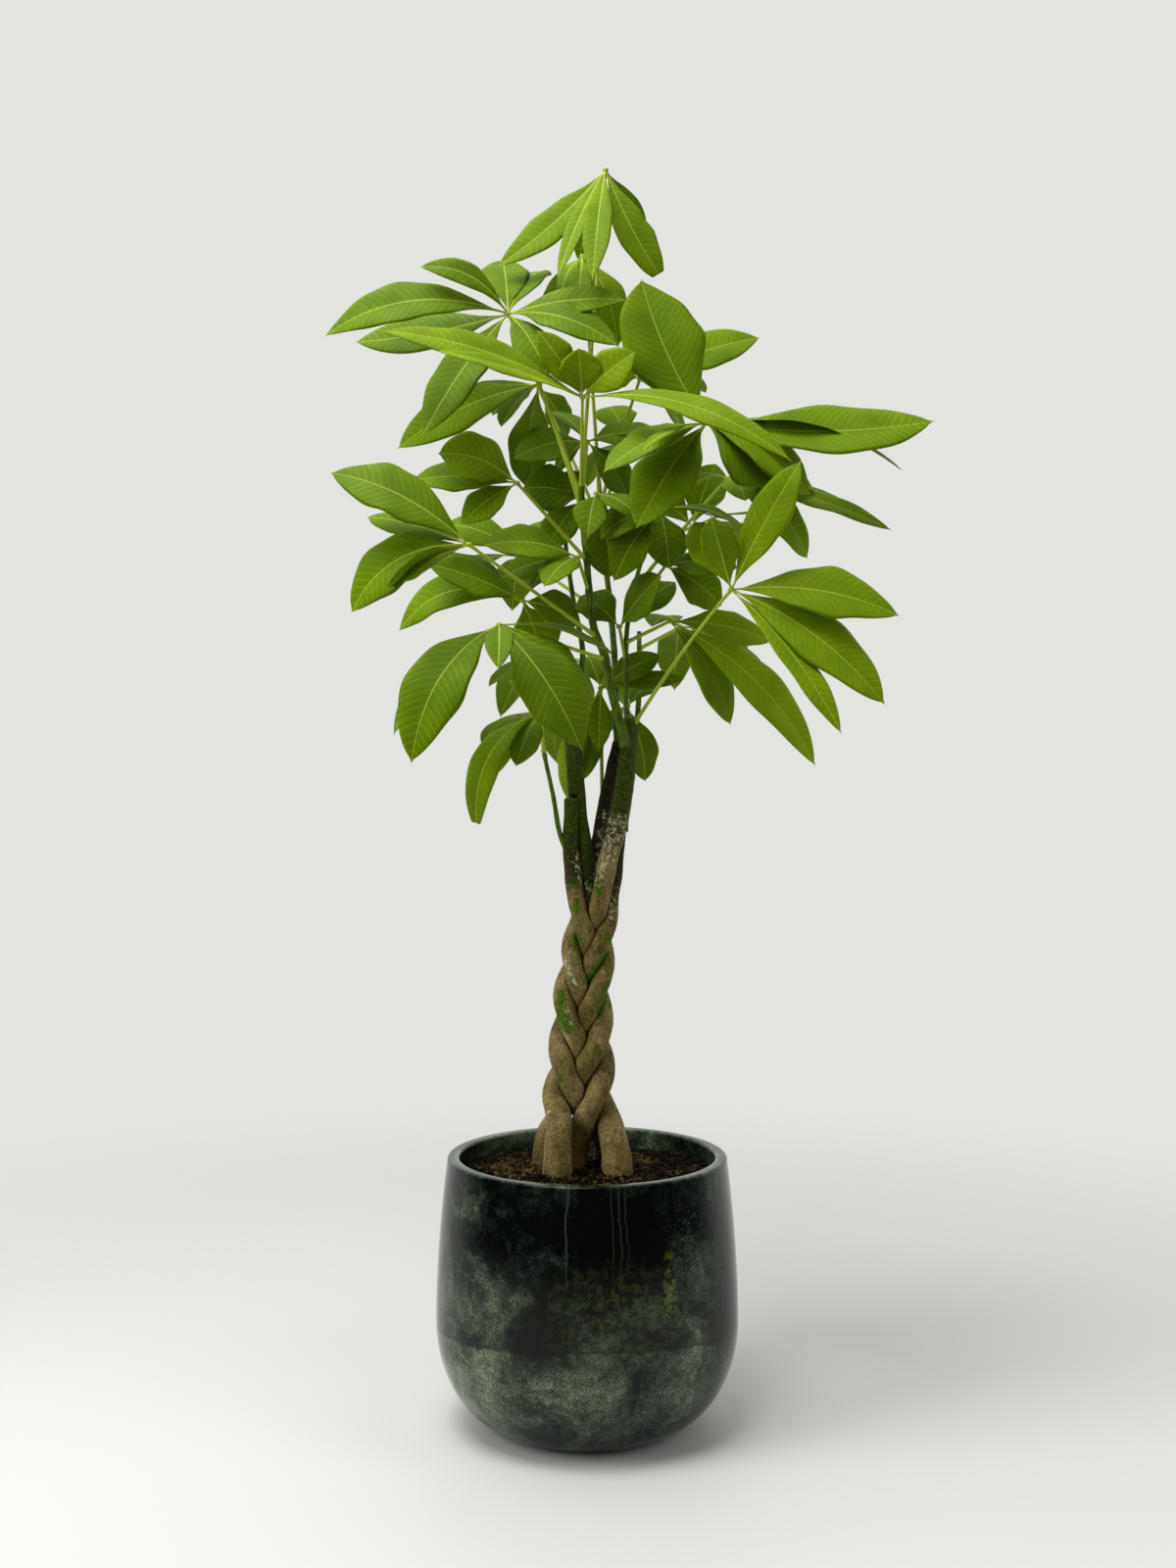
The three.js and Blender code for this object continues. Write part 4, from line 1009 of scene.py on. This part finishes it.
@dataclass
class Plait:
    """The five trunks: a weave in the middle, feet apart in the soil, and each its own way at the top."""

    period: float = 278.5
    first_crossing: float = 592.5
    splay: float = 58
    straightness: float = 0.11
    crown: float = 528
    loose: float = 590
    buried: float = 235
    gap: float = 0.3
    sides: int = 40
    step: float = 2.6
    # A neighbour presses a trunk up to this far outside it, and up to this far above its own top. The bark
    # starts to flatten this close to the wall between them. Its bumps have a size and a rise.
    press_reach: float = 3
    clear_above: float = 4
    press_blend: float = 2.4
    bumps: tuple[tuple[float, float], ...] = ((13, 0.55), (4, 0.22))
    top_round: float = 1.6
    # The bark turns bare over this half height. A dark, lichened border lies below it.
    bare_blend: float = 25
    border_drop: float = 22
    border_reach: float = 26
    # Patches of green algae and of lichen. A patch runs straight from (x, z) to (x, z), with its reach to all
    # sides, on the front (-1) or the back (1) of the plait.
    algae: tuple[tuple[float, ...], ...] = (
        (-1, 479, 20, 506, 5, -1), (13, 444, 23, 476, 5, -1), (-28, 444, -19, 428, 8, -1),
        (-28, 464, -27, 446, 5, -1), (-13, 600, -14, 584, 6, -1), (-12, 566, -12, 556, 5, -1),
        (-12, 527, -12, 515, 5, -1), (-16, 482, -14, 477, 5, -1), (11, 582, 13, 575, 5, -1),
        (-1, 606, 1, 590, 6, -1), (10, 408, 13, 399, 4, -1), (-30, 376, -29, 373, 4, -1),
        (22, 528, 23, 522, 4, -1), (29, 566, 30, 560, 4, -1), (-20, 470, -2, 500, 7, 1),
        (8, 420, 22, 450, 7, 1), (-24, 385, -12, 405, 6, 1), (10, 540, 22, 560, 6, 1),
        (-14, 560, -10, 590, 7, 1))
    lichen: tuple[tuple[float, ...], ...] = (
        (36, 652, 12, 585, 13, -1), (-24, 452, -17, 432, 5, -1), (-23, 500, -14, 476, 6, -1),
        (14, 494, 19, 486, 4, -1), (-42, 340, -41, 330, 5, -1), (-15, 338, -14, 332, 4, -1),
        (20, 318, 22, 310, 5, -1), (-10, 640, -4, 585, 6, -1), (26, 548, 31, 562, 6, -1),
        (18, 660, 12, 600, 9, 1), (-10, 470, 8, 500, 8, 1), (14, 380, 22, 400, 6, 1))

    def place(self, index: int, z: float) -> tuple[float, float, float]:
        """Where the middle of a trunk is at a height, and its radius there.

        Args:
            index: the trunk's place in TRUNKS.
            z: the height.

        Returns:
            x, y and radius.
        """
        trunk = TRUNKS[index]
        crossing = self.first_crossing - index * self.period / len(TRUNKS)
        phase = math.pi / 2 + math.tau * (crossing - z) / self.period
        swing = math.cos(phase) + self.straightness * math.cos(3 * phase)
        weave_x = read_table(PLAIT_LEAN, z)[0] + read_table(PLAIT_BREADTH, z)[0] * swing
        weave_y = -read_table(PLAIT_DEPTH, z)[0] * math.sin(2 * phase)
        standing = 1 - smoothstep(z, trunk.woven - self.splay, trunk.woven)
        free = smoothstep(z, self.crown, self.loose)
        top_x, top_y, top_radius = read_table(trunk.top, z)
        girth = read_table(TRUNK_GIRTH, z)[0] * lerp(1, trunk.thick, standing)
        return (lerp(lerp(weave_x, trunk.foot[0], standing), top_x, free),
                lerp(lerp(weave_y, trunk.foot[1], standing), top_y, free),
                lerp(girth, top_radius, free))

    def walls(self, index: int, z: float) -> list[tuple[float, float]]:
        """The flat walls by which its neighbours press a trunk.

        Args:
            index: the trunk's place in TRUNKS.
            z: the height.

        Returns:
            Rows of (direction, distance) from the trunk's middle.
        """
        x, y, radius = self.place(index, z)
        found = []
        for other, trunk in enumerate(TRUNKS):
            if other == index or z > trunk.top[-1][0] + self.clear_above:
                continue
            its_x, its_y, its_radius = self.place(other, z)
            apart = math.hypot(its_x - x, its_y - y)
            share = (apart ** 2 + radius ** 2 - its_radius ** 2) / (2 * apart)
            if share < radius + self.press_reach:
                found.append((math.atan2(its_y - y, its_x - x), share - self.gap / 2))
        return found

    def build_trunk(self, index: int, bark: bpy.types.Material) -> bpy.types.Object:
        """Makes one trunk with its rounded, pressed section, its bumps and its cut top.

        Args:
            index: the trunk's place in TRUNKS.
            bark: its finish.

        Returns:
            The trunk.
        """
        trunk = TRUNKS[index]
        top = trunk.top[-1][0]
        rings = round((top - self.buried) / self.step)
        levels = [lerp(self.buried, top, k / rings) for k in range(rings + 1)]
        middles = [self.place(index, z) for z in levels]
        pressing = [self.walls(index, z) for z in levels]

        def place(along: float, angle: float) -> Vector:
            """Gives a point of the bark: the trunk's circle, pressed softly by its neighbours.

            Args:
                along: the share of the trunk's height.
                angle: the angle round it.

            Returns:
                The point, in millimetres.
            """
            k = round(along * rings)
            x, y, radius = middles[k]
            z = levels[k]
            reach = radius
            for direction, distance in pressing[k]:
                facing = math.cos(angle - direction)
                if facing > 0.05:
                    cut = distance / facing
                    soft = max(0.0, self.press_blend - abs(reach - cut))
                    reach = min(reach, cut) - soft * soft / (4 * self.press_blend)
            spot = Vector((x + radius * math.cos(angle), y + radius * math.sin(angle), z * 0.6))
            for k, (size, rise) in enumerate(self.bumps):
                reach += noise.noise(spot / size + UP * (index * k)) * rise
            reach -= max(0.0, z - top + self.top_round) / 2
            return Vector((x + reach * math.cos(angle), y + reach * math.sin(angle), z))

        def mark(vert: bmesh.types.BMVert, along: float, angle: float) -> None:
            """Writes the growth_and_shade attribute, with painted shade by how far the bark is pressed in
            there.

            Args:
                vert: a vertex of the bark.
                along: the share of the trunk's height.
                angle: the angle round it.
            """
            x, y, radius = middles[round(along * rings)]
            point = vert.co / MM
            pressed = 1 - math.hypot(point.x - x, point.y - y) / radius
            vert[layer] = self.growth_and_shade(point, trunk, pressed)

        bm = bmesh.new()
        layer = bm.verts.layers.float_color.new("growth_and_shade")
        wrap_tube(bm, rings, self.sides, place, mark)
        return finish_piece("plaited_" + trunk.name, bm, bark, "bark", trunk.name)

    def covered(self, point: Vector, patches: tuple[tuple[float, ...], ...]) -> float:
        """How far the nearest of some patches covers a point.

        Args:
            point: the point.
            patches: rows of algae or lichen.

        Returns:
            The share, from 0 to 1.
        """
        most = 0.0
        for x0, z0, x1, z1, reach, side in patches:
            start, run = Vector((x0, z0)), Vector((x1 - x0, z1 - z0))
            spot = Vector((point.x, point.z))
            share = min(1.0, max(0.0, (spot - start).dot(run) / run.length_squared))
            away = (spot - start - run * share).length / reach
            most = max(most, math.exp(-away * away) * smoothstep(point.y * side, -12, 2))
        return most

    def growth_and_shade(self, point: Vector, trunk: Trunk, pressed: float) -> tuple[float, float, float, float]:
        """What grows on a trunk at a point.

        Args:
            point: the point.
            trunk: the trunk's table row.
            pressed: the share of the trunk's radius by which its neighbours press it in there.

        Returns:
            Shares of green, of lichen, and of darkness: dark skin, darkening near the soil, and painted shade
            in the creases, as a colour.
        """
        green = self.covered(point, self.algae) + 0.2 * smoothstep(noise.noise(point / 30), -0.1, 0.6)
        pale = self.covered(point, self.lichen)
        above = point.z - trunk.bare_from
        high = smoothstep(above, -self.bare_blend, self.bare_blend)
        border = math.exp(-((above + self.border_drop) / self.border_reach) ** 2)
        # The bark is darker towards the soil, and painted shade darkens the creases where its neighbours
        # press it in.
        dark = 0.35 * smoothstep(-point.z, -300, -268) + 0.7 * border + 0.8 * smoothstep(pressed, 0.05, 0.3)
        pale += 0.6 * border
        if trunk.skin is Skin.GREEN:
            green += high * 1.4
            dark += high * 0.42
            pale *= 1 - high * 0.7
        else:
            dark += high * 0.75
        if point.z > trunk.top[-1][0] - 0.3:
            green, pale, dark = 0.0, 0.5, 0.25
        return min(1.0, green), min(1.0, pale), min(0.9, dark), 1.0

    def build(self, bark: bpy.types.Material) -> list[bpy.types.Object]:
        """All five trunks."""
        return [self.build_trunk(index, bark) for index in range(len(TRUNKS))]


# ---- shoots and leaves --------------------------------------------------------------------------


@dataclass
class Shoots:
    """The green shoots, thicker where they sit on the wood and where a leaf stalk leaves."""

    sides: int = 20
    rings_per_span: int = 16
    swelling: float = 0.16
    swelling_reach: float = 5
    foot_flare: float = 0.5
    flare_decay: float = 22
    bump_size: float = 11
    bump_rise: float = 0.3
    samples: int = 200

    def point(self, name: str, z: float, plait: Plait) -> Vector:
        """The middle of a shoot or trunk at a height.

        Args:
            name: the shoot's or trunk's name.
            z: the height.
            plait: the plait, for a trunk.

        Returns:
            The point.
        """
        for index, trunk in enumerate(TRUNKS):
            if trunk.name == name:
                x, y, _ = plait.place(index, z)
                return Vector((x, y, z))
        shoot = next(row for row in SHOOTS if row.name == name)
        points = [Vector(p) for p in shoot.path]
        samples = [centripetal(points, k / self.samples) for k in range(self.samples + 1)]
        return min(samples, key=lambda p: abs(p.z - z))

    def build(self, skin: bpy.types.Material) -> list[bpy.types.Object]:
        """All shoots.

        Args:
            skin: their finish.

        Returns:
            The shoots.
        """
        made = []
        for shoot in SHOOTS:
            points = [Vector(p) for p in shoot.path]
            joints = [leaf.start for leaf in LEAVES if leaf.on == shoot.name]

            def place(along: float, angle: float) -> Vector:
                """Gives a point of the shoot's skin.

                Args:
                    along: the share of the shoot's length.
                    angle: the angle round it.

                Returns:
                    The point, in millimetres.
                """
                centre = centripetal(points, along)
                ahead = centripetal(points, min(1.0, along + 0.01))
                behind = centripetal(points, max(0.0, along - 0.01))
                radius = lerp(shoot.radius[0], shoot.radius[1], along)
                near = sum(math.exp(-((centre.z - z) / self.swelling_reach) ** 2) for z in joints)
                radius *= 1 + self.swelling * near
                radius *= 1 + self.foot_flare * math.exp(-along * self.flare_decay)
                spot = centre / self.bump_size + Vector((math.cos(angle), math.sin(angle), 0))
                radius += noise.noise(spot) * self.bump_rise
                return round_section(centre, (ahead - behind).normalized(), radius, angle)

            bm = bmesh.new()
            wrap_tube(bm, self.rings_per_span * (len(points) - 1), self.sides, place)
            made.append(finish_piece("green_" + shoot.name, bm, skin, "shoot", shoot.name))
        return made


@dataclass(frozen=True)
class Midrib:
    """A leaflet's midrib: an arc over its chord, with the direction its face looks; read from a table row."""

    hub: Vector
    chord: Vector
    width: float
    bow: float
    lean: float
    sweep: float = 0.0
    left: float = 1.0

    @classmethod
    def read(cls, leaf: Leaf, order: int) -> "Midrib":
        """Reads the leaflet at a place in a leaf's table row."""
        x, y, z, *rest = leaf.leaflets[order]
        return cls(Vector(leaf.hub), Vector((x, y, z)), *rest)

    @cached_property
    def forward(self) -> Vector:
        """The way from the hub to the tip."""
        return self.chord.normalized()

    @cached_property
    def up(self) -> Vector:
        """The way the blade's face looks: up, leant to the front, square to the chord."""
        face = Vector((0, -self.lean, 1))
        return (face - self.forward * face.dot(self.forward)).normalized()

    @cached_property
    def bulge(self) -> Vector:
        """How far the midrib's middle stands off its chord."""
        return self.up * self.bow + self.forward.cross(self.up) * self.sweep

    def point(self, t: float) -> Vector:
        """The midrib's point at a share of its length."""
        return self.hub + self.chord * t + self.bulge * (4 * t * (1 - t))

    def slope(self, t: float) -> Vector:
        """The midrib's direction at a share of its length."""
        return (self.chord + self.bulge * (4 - 8 * t)).normalized()


@dataclass
class Foliage:
    """The palmate leaves: blades with folded, waved halves, ribs, and long stalks."""

    plait: Plait
    shoots: Shoots
    across: int = 14
    along: int = 48
    thickness: float = 0.55
    base: float = 3
    fold: float = 0.2
    droop: float = 0.14
    wave: float = 0.05
    fine_wave: float = 0.02
    edge_wave: float = 0.04
    twist: float = 0.16
    age_spread: float = 0.07
    painted_shade_tone: float = 0.12
    rib_foot: float = 1.25
    rib_tip: float = 0.3
    stalk_foot: float = 2.3
    stalk_head: float = 1.7
    knob: float = 3.6
    tip_from: float = 0.965
    seed: int = 5

    def half_width(self, t: float, width: float) -> float:
        """Half a blade's width: wedge base, full shoulders, short drawn-out tip.

        Args:
            t: the share of the length.
            width: the whole width at the widest place.

        Returns:
            Half the width there.
        """
        fullness = lerp(1.15, 0.72, smoothstep(t, 0.15, 0.6))
        body = max(0.0, math.sin(math.pi * min(1.0, t / self.tip_from) ** 1.22)) ** fullness
        tip = 0.36 * (1 - t) * smoothstep(t, 0.55, 0.85)
        return width / 2 * math.hypot(body, tip)

    def leaflet(self, bm: bmesh.types.BMesh, leaf: Leaf, order: int, rng: random.Random) -> None:
        """Adds one leaflet's blade, as a closed thin shell.

        Args:
            bm: the leaf's mesh.
            leaf: its table row.
            order: the leaflet's place in the row.
            rng: the leaf's seeded chance.
        """
        form = Midrib.read(leaf, order)
        ripple = [rng.uniform(0, math.tau) for _ in range(4)]
        waves = rng.uniform(1.1, 2.1)
        twist = rng.uniform(-self.twist, self.twist)
        age = leaf.age + rng.uniform(-self.age_spread, self.age_spread)
        # A shaded leaflet is painted darker still, as painted shade.
        if order in leaf.shaded:
            age = min(age, self.painted_shade_tone)
        dried = 1.0 if order in leaf.dried else 0.0
        blade = bm.verts.layers.float_vector["blade"]
        tone = bm.verts.layers.float_vector["tone"]
        rows = {}

        def across(angle: float) -> float:
            """Where an angle round the shell lies between the left edge, -1, and the right edge, 1."""
            return 1 - 2 * abs(angle / math.pi - 1)

        def place(along: float, angle: float) -> Vector:
            """Gives a point of the blade's shell.

            Args:
                along: the share of the leaflet's length.
                angle: the angle round the shell.

            Returns:
                The point, in millimetres.
            """
            key = round(along * 1000)
            if key not in rows:
                tangent = form.slope(along)
                normal = (form.up - tangent * form.up.dot(tangent)).normalized()
                turned = Matrix.Rotation(twist * math.sin(math.pi * along), 3, tangent) @ normal
                half = self.half_width(along * form.left, form.width)
                edge = math.sin(3.1 * math.tau * along + ripple[3]) * math.sin(math.pi * along)
                half *= 1 + self.edge_wave * edge
                middle = form.point(along) + form.forward * (self.base * (1 - along))
                rows[key] = (middle, tangent.cross(turned), turned, half)
            centre, sideways, normal, half = rows[key]
            u = across(angle)
            share = abs(u)
            rise = (math.sqrt(share * share + 0.006) - 0.077) * half * math.sin(self.fold)
            phase = ripple[0] if u < 0 else ripple[1]
            rise += self.wave * half * math.sin(waves * math.tau * along + phase) * share ** 2
            fine = math.sin(2.3 * waves * math.tau * along + ripple[2] + u)
            rise += self.fine_wave * half * fine * share ** 3
            rise -= self.droop * half * share ** 3
            face = 1 if angle <= math.pi else -1
            rise += face * self.thickness / 2 * min(1.0, half / 2) * min(1.0, (1 - share) * 7)
            return centre + sideways * (u * half * math.cos(self.fold)) + normal * rise

        def mark(vert: bmesh.types.BMVert, along: float, angle: float) -> None:
            """Writes the measures on the blade and the leaflet's tone.

            Args:
                vert: a vertex of the shell.
                along: the share of the leaflet's length.
                angle: the angle round the shell.
            """
            half = rows[round(along * 1000)][3]
            vert[blade] = Vector((across(angle) * half / 100, along * form.chord.length / 100, along))
            vert[tone] = Vector((0 if angle <= math.pi else 1, age, dried))

        wrap_tube(bm, self.along, self.across * 2, place, mark)

    def ribs(self, bm: bmesh.types.BMesh, leaf: Leaf, order: int) -> None:
        """Adds the raised rib under a leaflet, from the knob nearly to the tip.

        Args:
            bm: the leaf's mesh.
            leaf: its table row.
            order: the leaflet's place in the row.
        """
        form = Midrib.read(leaf, order)

        def place(along: float, angle: float) -> Vector:
            """Gives a point of the rib.

            Args:
                along: the share of the rib's length.
                angle: the angle round it.

            Returns:
                The point, in millimetres.
            """
            t = along * 0.97
            radius = lerp(self.rib_foot, self.rib_tip, math.sqrt(t))
            centre = form.point(t) - form.up * (radius * 0.75 * smoothstep(t, 0, 0.08))
            return round_section(centre, form.slope(t), radius, angle)

        before = set(bm.verts)
        wrap_tube(bm, 20, 6, place)
        self.mark_stem(bm, before, leaf, 0.45)

    def mark_stem(self, bm: bmesh.types.BMesh, before: set, leaf: Leaf, paler: float) -> None:
        """Gives what was just added the leaf's tone and the look of a rib.

        Args:
            bm: the leaf's mesh.
            before: the vertices that it had.
            leaf: its table row.
            paler: how much younger it looks than the leaf.
        """
        own = bm.verts.layers.float_vector["tone"]
        for vert in bm.verts:
            if vert not in before:
                vert[own] = Vector((1.0, min(1.0, leaf.age * 0.6 + paler), 0.0))

    def stalk(self, bm: bmesh.types.BMesh, leaf: Leaf) -> None:
        """Adds the leaf's stalk, swollen at both ends, and the knob where the leaflets meet.

        Args:
            bm: the leaf's mesh.
            leaf: its table row.
        """
        start = self.shoots.point(leaf.on, leaf.start, self.plait)
        hub = Vector(leaf.hub)
        bend = start.lerp(hub, 0.5) + UP * leaf.lift

        def place(along: float, angle: float) -> Vector:
            """Gives a point of the stalk's skin.

            Args:
                along: the share of the stalk's length.
                angle: the angle round it.

            Returns:
                The point, in millimetres.
            """
            tangent = (bend - start).lerp(hub - bend, along).normalized()
            radius = lerp(self.stalk_foot, self.stalk_head, along)
            radius += 0.8 * math.exp(-((along - 0.03) / 0.04) ** 2) + 0.7 * smoothstep(along, 0.95, 1.0)
            return round_section(quadratic(start, bend, hub, along), tangent, radius, angle)

        before = set(bm.verts)
        wrap_tube(bm, 30, 10, place)
        ball = Matrix.Translation(hub * MM) @ Matrix.Diagonal((1, 1, 0.75, 1))
        bmesh.ops.create_icosphere(bm, subdivisions=2, radius=self.knob * MM, matrix=ball)
        self.mark_stem(bm, before, leaf, 0.35)

    def build_leaf(self, index: int, wax: bpy.types.Material) -> bpy.types.Object:
        """Makes one leaf.

        Args:
            index: the leaf's place in LEAVES.
            wax: its finish.

        Returns:
            The leaf.
        """
        leaf = LEAVES[index]
        rng = random.Random(self.seed * 100 + index)
        bm = bmesh.new()
        bm.verts.layers.float_vector.new("blade")
        bm.verts.layers.float_vector.new("tone")
        for order in range(len(leaf.leaflets)):
            self.leaflet(bm, leaf, order, rng)
            self.ribs(bm, leaf, order)
        self.stalk(bm, leaf)
        return finish_piece("grown_" + leaf.name, bm, wax, "leaf", leaf.name)

    def build(self, wax: bpy.types.Material) -> list[bpy.types.Object]:
        """All leaves."""
        return [self.build_leaf(index, wax) for index in range(len(LEAVES))]


# ---- stage, light and camera --------------------------------------------------------------------


@dataclass
class Studio:
    """Pale floor in a pale soft room, three soft lights, and a level camera; sizes in metres."""

    distance: float = 1.78
    eye: float = 0.6825
    focal_px: float = 1657.0
    axis_px: float = 599.2
    horizon_px: float = 810.0
    frame_px: tuple[int, int] = (1200, 1600)
    sensor: float = 36.0
    floor_reach: float = 2.4
    room_colour: str = "#e3e4df"
    room_front: float = 0.12

    def floor(self, finish: bpy.types.Material) -> None:
        """Makes the round floor.

        Args:
            finish: its finish.
        """
        bm = bmesh.new()
        bmesh.ops.create_circle(bm, cap_ends=True, segments=96, radius=self.floor_reach)
        mesh_object("studio_floor", bm, finish)

    def room(self) -> None:
        """Makes the room: pale wherever it is seen, and giving light mostly from behind the plant."""
        world = bpy.data.worlds.new("soft_room")
        bpy.context.scene.world = world
        world.use_nodes = True
        world.node_tree.nodes.clear()
        add = partial(add_node, world.node_tree)
        way = add("SeparateXYZ", [add("TexCoord").outputs["Generated"]])
        giving = add("MapRange", [way.outputs["Y"], 0.05, 0.5, self.room_front, 1.0])
        strength = add("MapRange", [add("LightPath"), 0.0, 1.0, giving, 1.0])
        room = add("Background", [self.room_colour, strength])
        add("OutputWorld", [room])

    def lamp(self, name: str, place: tuple[float, float, float], aim: tuple[float, float, float],
             size: tuple[float, float], power: float, mirrored: bool) -> None:
        """Adds one soft rectangular light.

        Args:
            name: its name.
            place: where it hangs.
            aim: the point it faces.
            size: its width and height.
            power: its power in watts.
            mirrored: whether glossy surfaces mirror it.
        """
        data = bpy.data.lights.new(name, "AREA")
        data.shape = "RECTANGLE"
        data.size, data.size_y = size
        data.energy = power
        lamp = put_in_scene(name, data)
        lamp.visible_camera = False
        lamp.visible_glossy = mirrored
        lamp.location = place
        lamp.rotation_euler = (Vector(aim) - Vector(place)).to_track_quat("-Z", "Y").to_euler()

    def camera(self) -> None:
        """Places the camera level with the photo's horizon, at the photo's distance and framing."""
        data = bpy.data.cameras.new("camera")
        tall = self.frame_px[1]
        data.sensor_width = self.sensor
        data.lens = self.focal_px / tall * self.sensor
        data.shift_x = (self.frame_px[0] / 2 - self.axis_px) / tall
        data.shift_y = (self.horizon_px - tall / 2) / tall
        data.clip_end = 30
        camera = put_in_scene("camera", data)
        camera.location = (0, -self.distance, self.eye)
        camera.rotation_euler = (math.pi / 2, 0, 0)
        bpy.context.scene.camera = camera

    def build(self, finish: bpy.types.Material) -> None:
        """Sets the stage, the light and the camera.

        Args:
            finish: the floor's finish.
        """
        bpy.context.scene.view_settings.view_transform = "Standard"
        self.room()
        self.floor(finish)
        self.lamp("top_light", (-0.55, -0.5, 2.7), (0, 0, 0.8), (1.4, 1.2), 43, True)
        self.lamp("left_fill", (-1.7, -0.9, 1.3), (0, 0, 0.75), (1.0, 1.6), 22, False)
        self.lamp("right_fill", (1.8, -0.7, 1.0), (0, 0, 0.6), (1.0, 1.6), 10, False)
        self.camera()


def main() -> None:
    """Builds the stage and the plant, piece by piece."""
    Studio().build(PlainStage().make())
    pot = Pot()
    pot.build(GlazedStoneware().make())
    Soil(pot).build(PottingCompost().make())
    plait = Plait()
    plait.build(PlaitedBark().make())
    shoots = Shoots()
    shoots.build(GreenBark().make())
    Foliage(plait, shoots).build(WaxyLeaf().make())


if __name__ == "__main__":
    logging.basicConfig(level=logging.INFO, format="%(name)s: %(message)s")
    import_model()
    main()
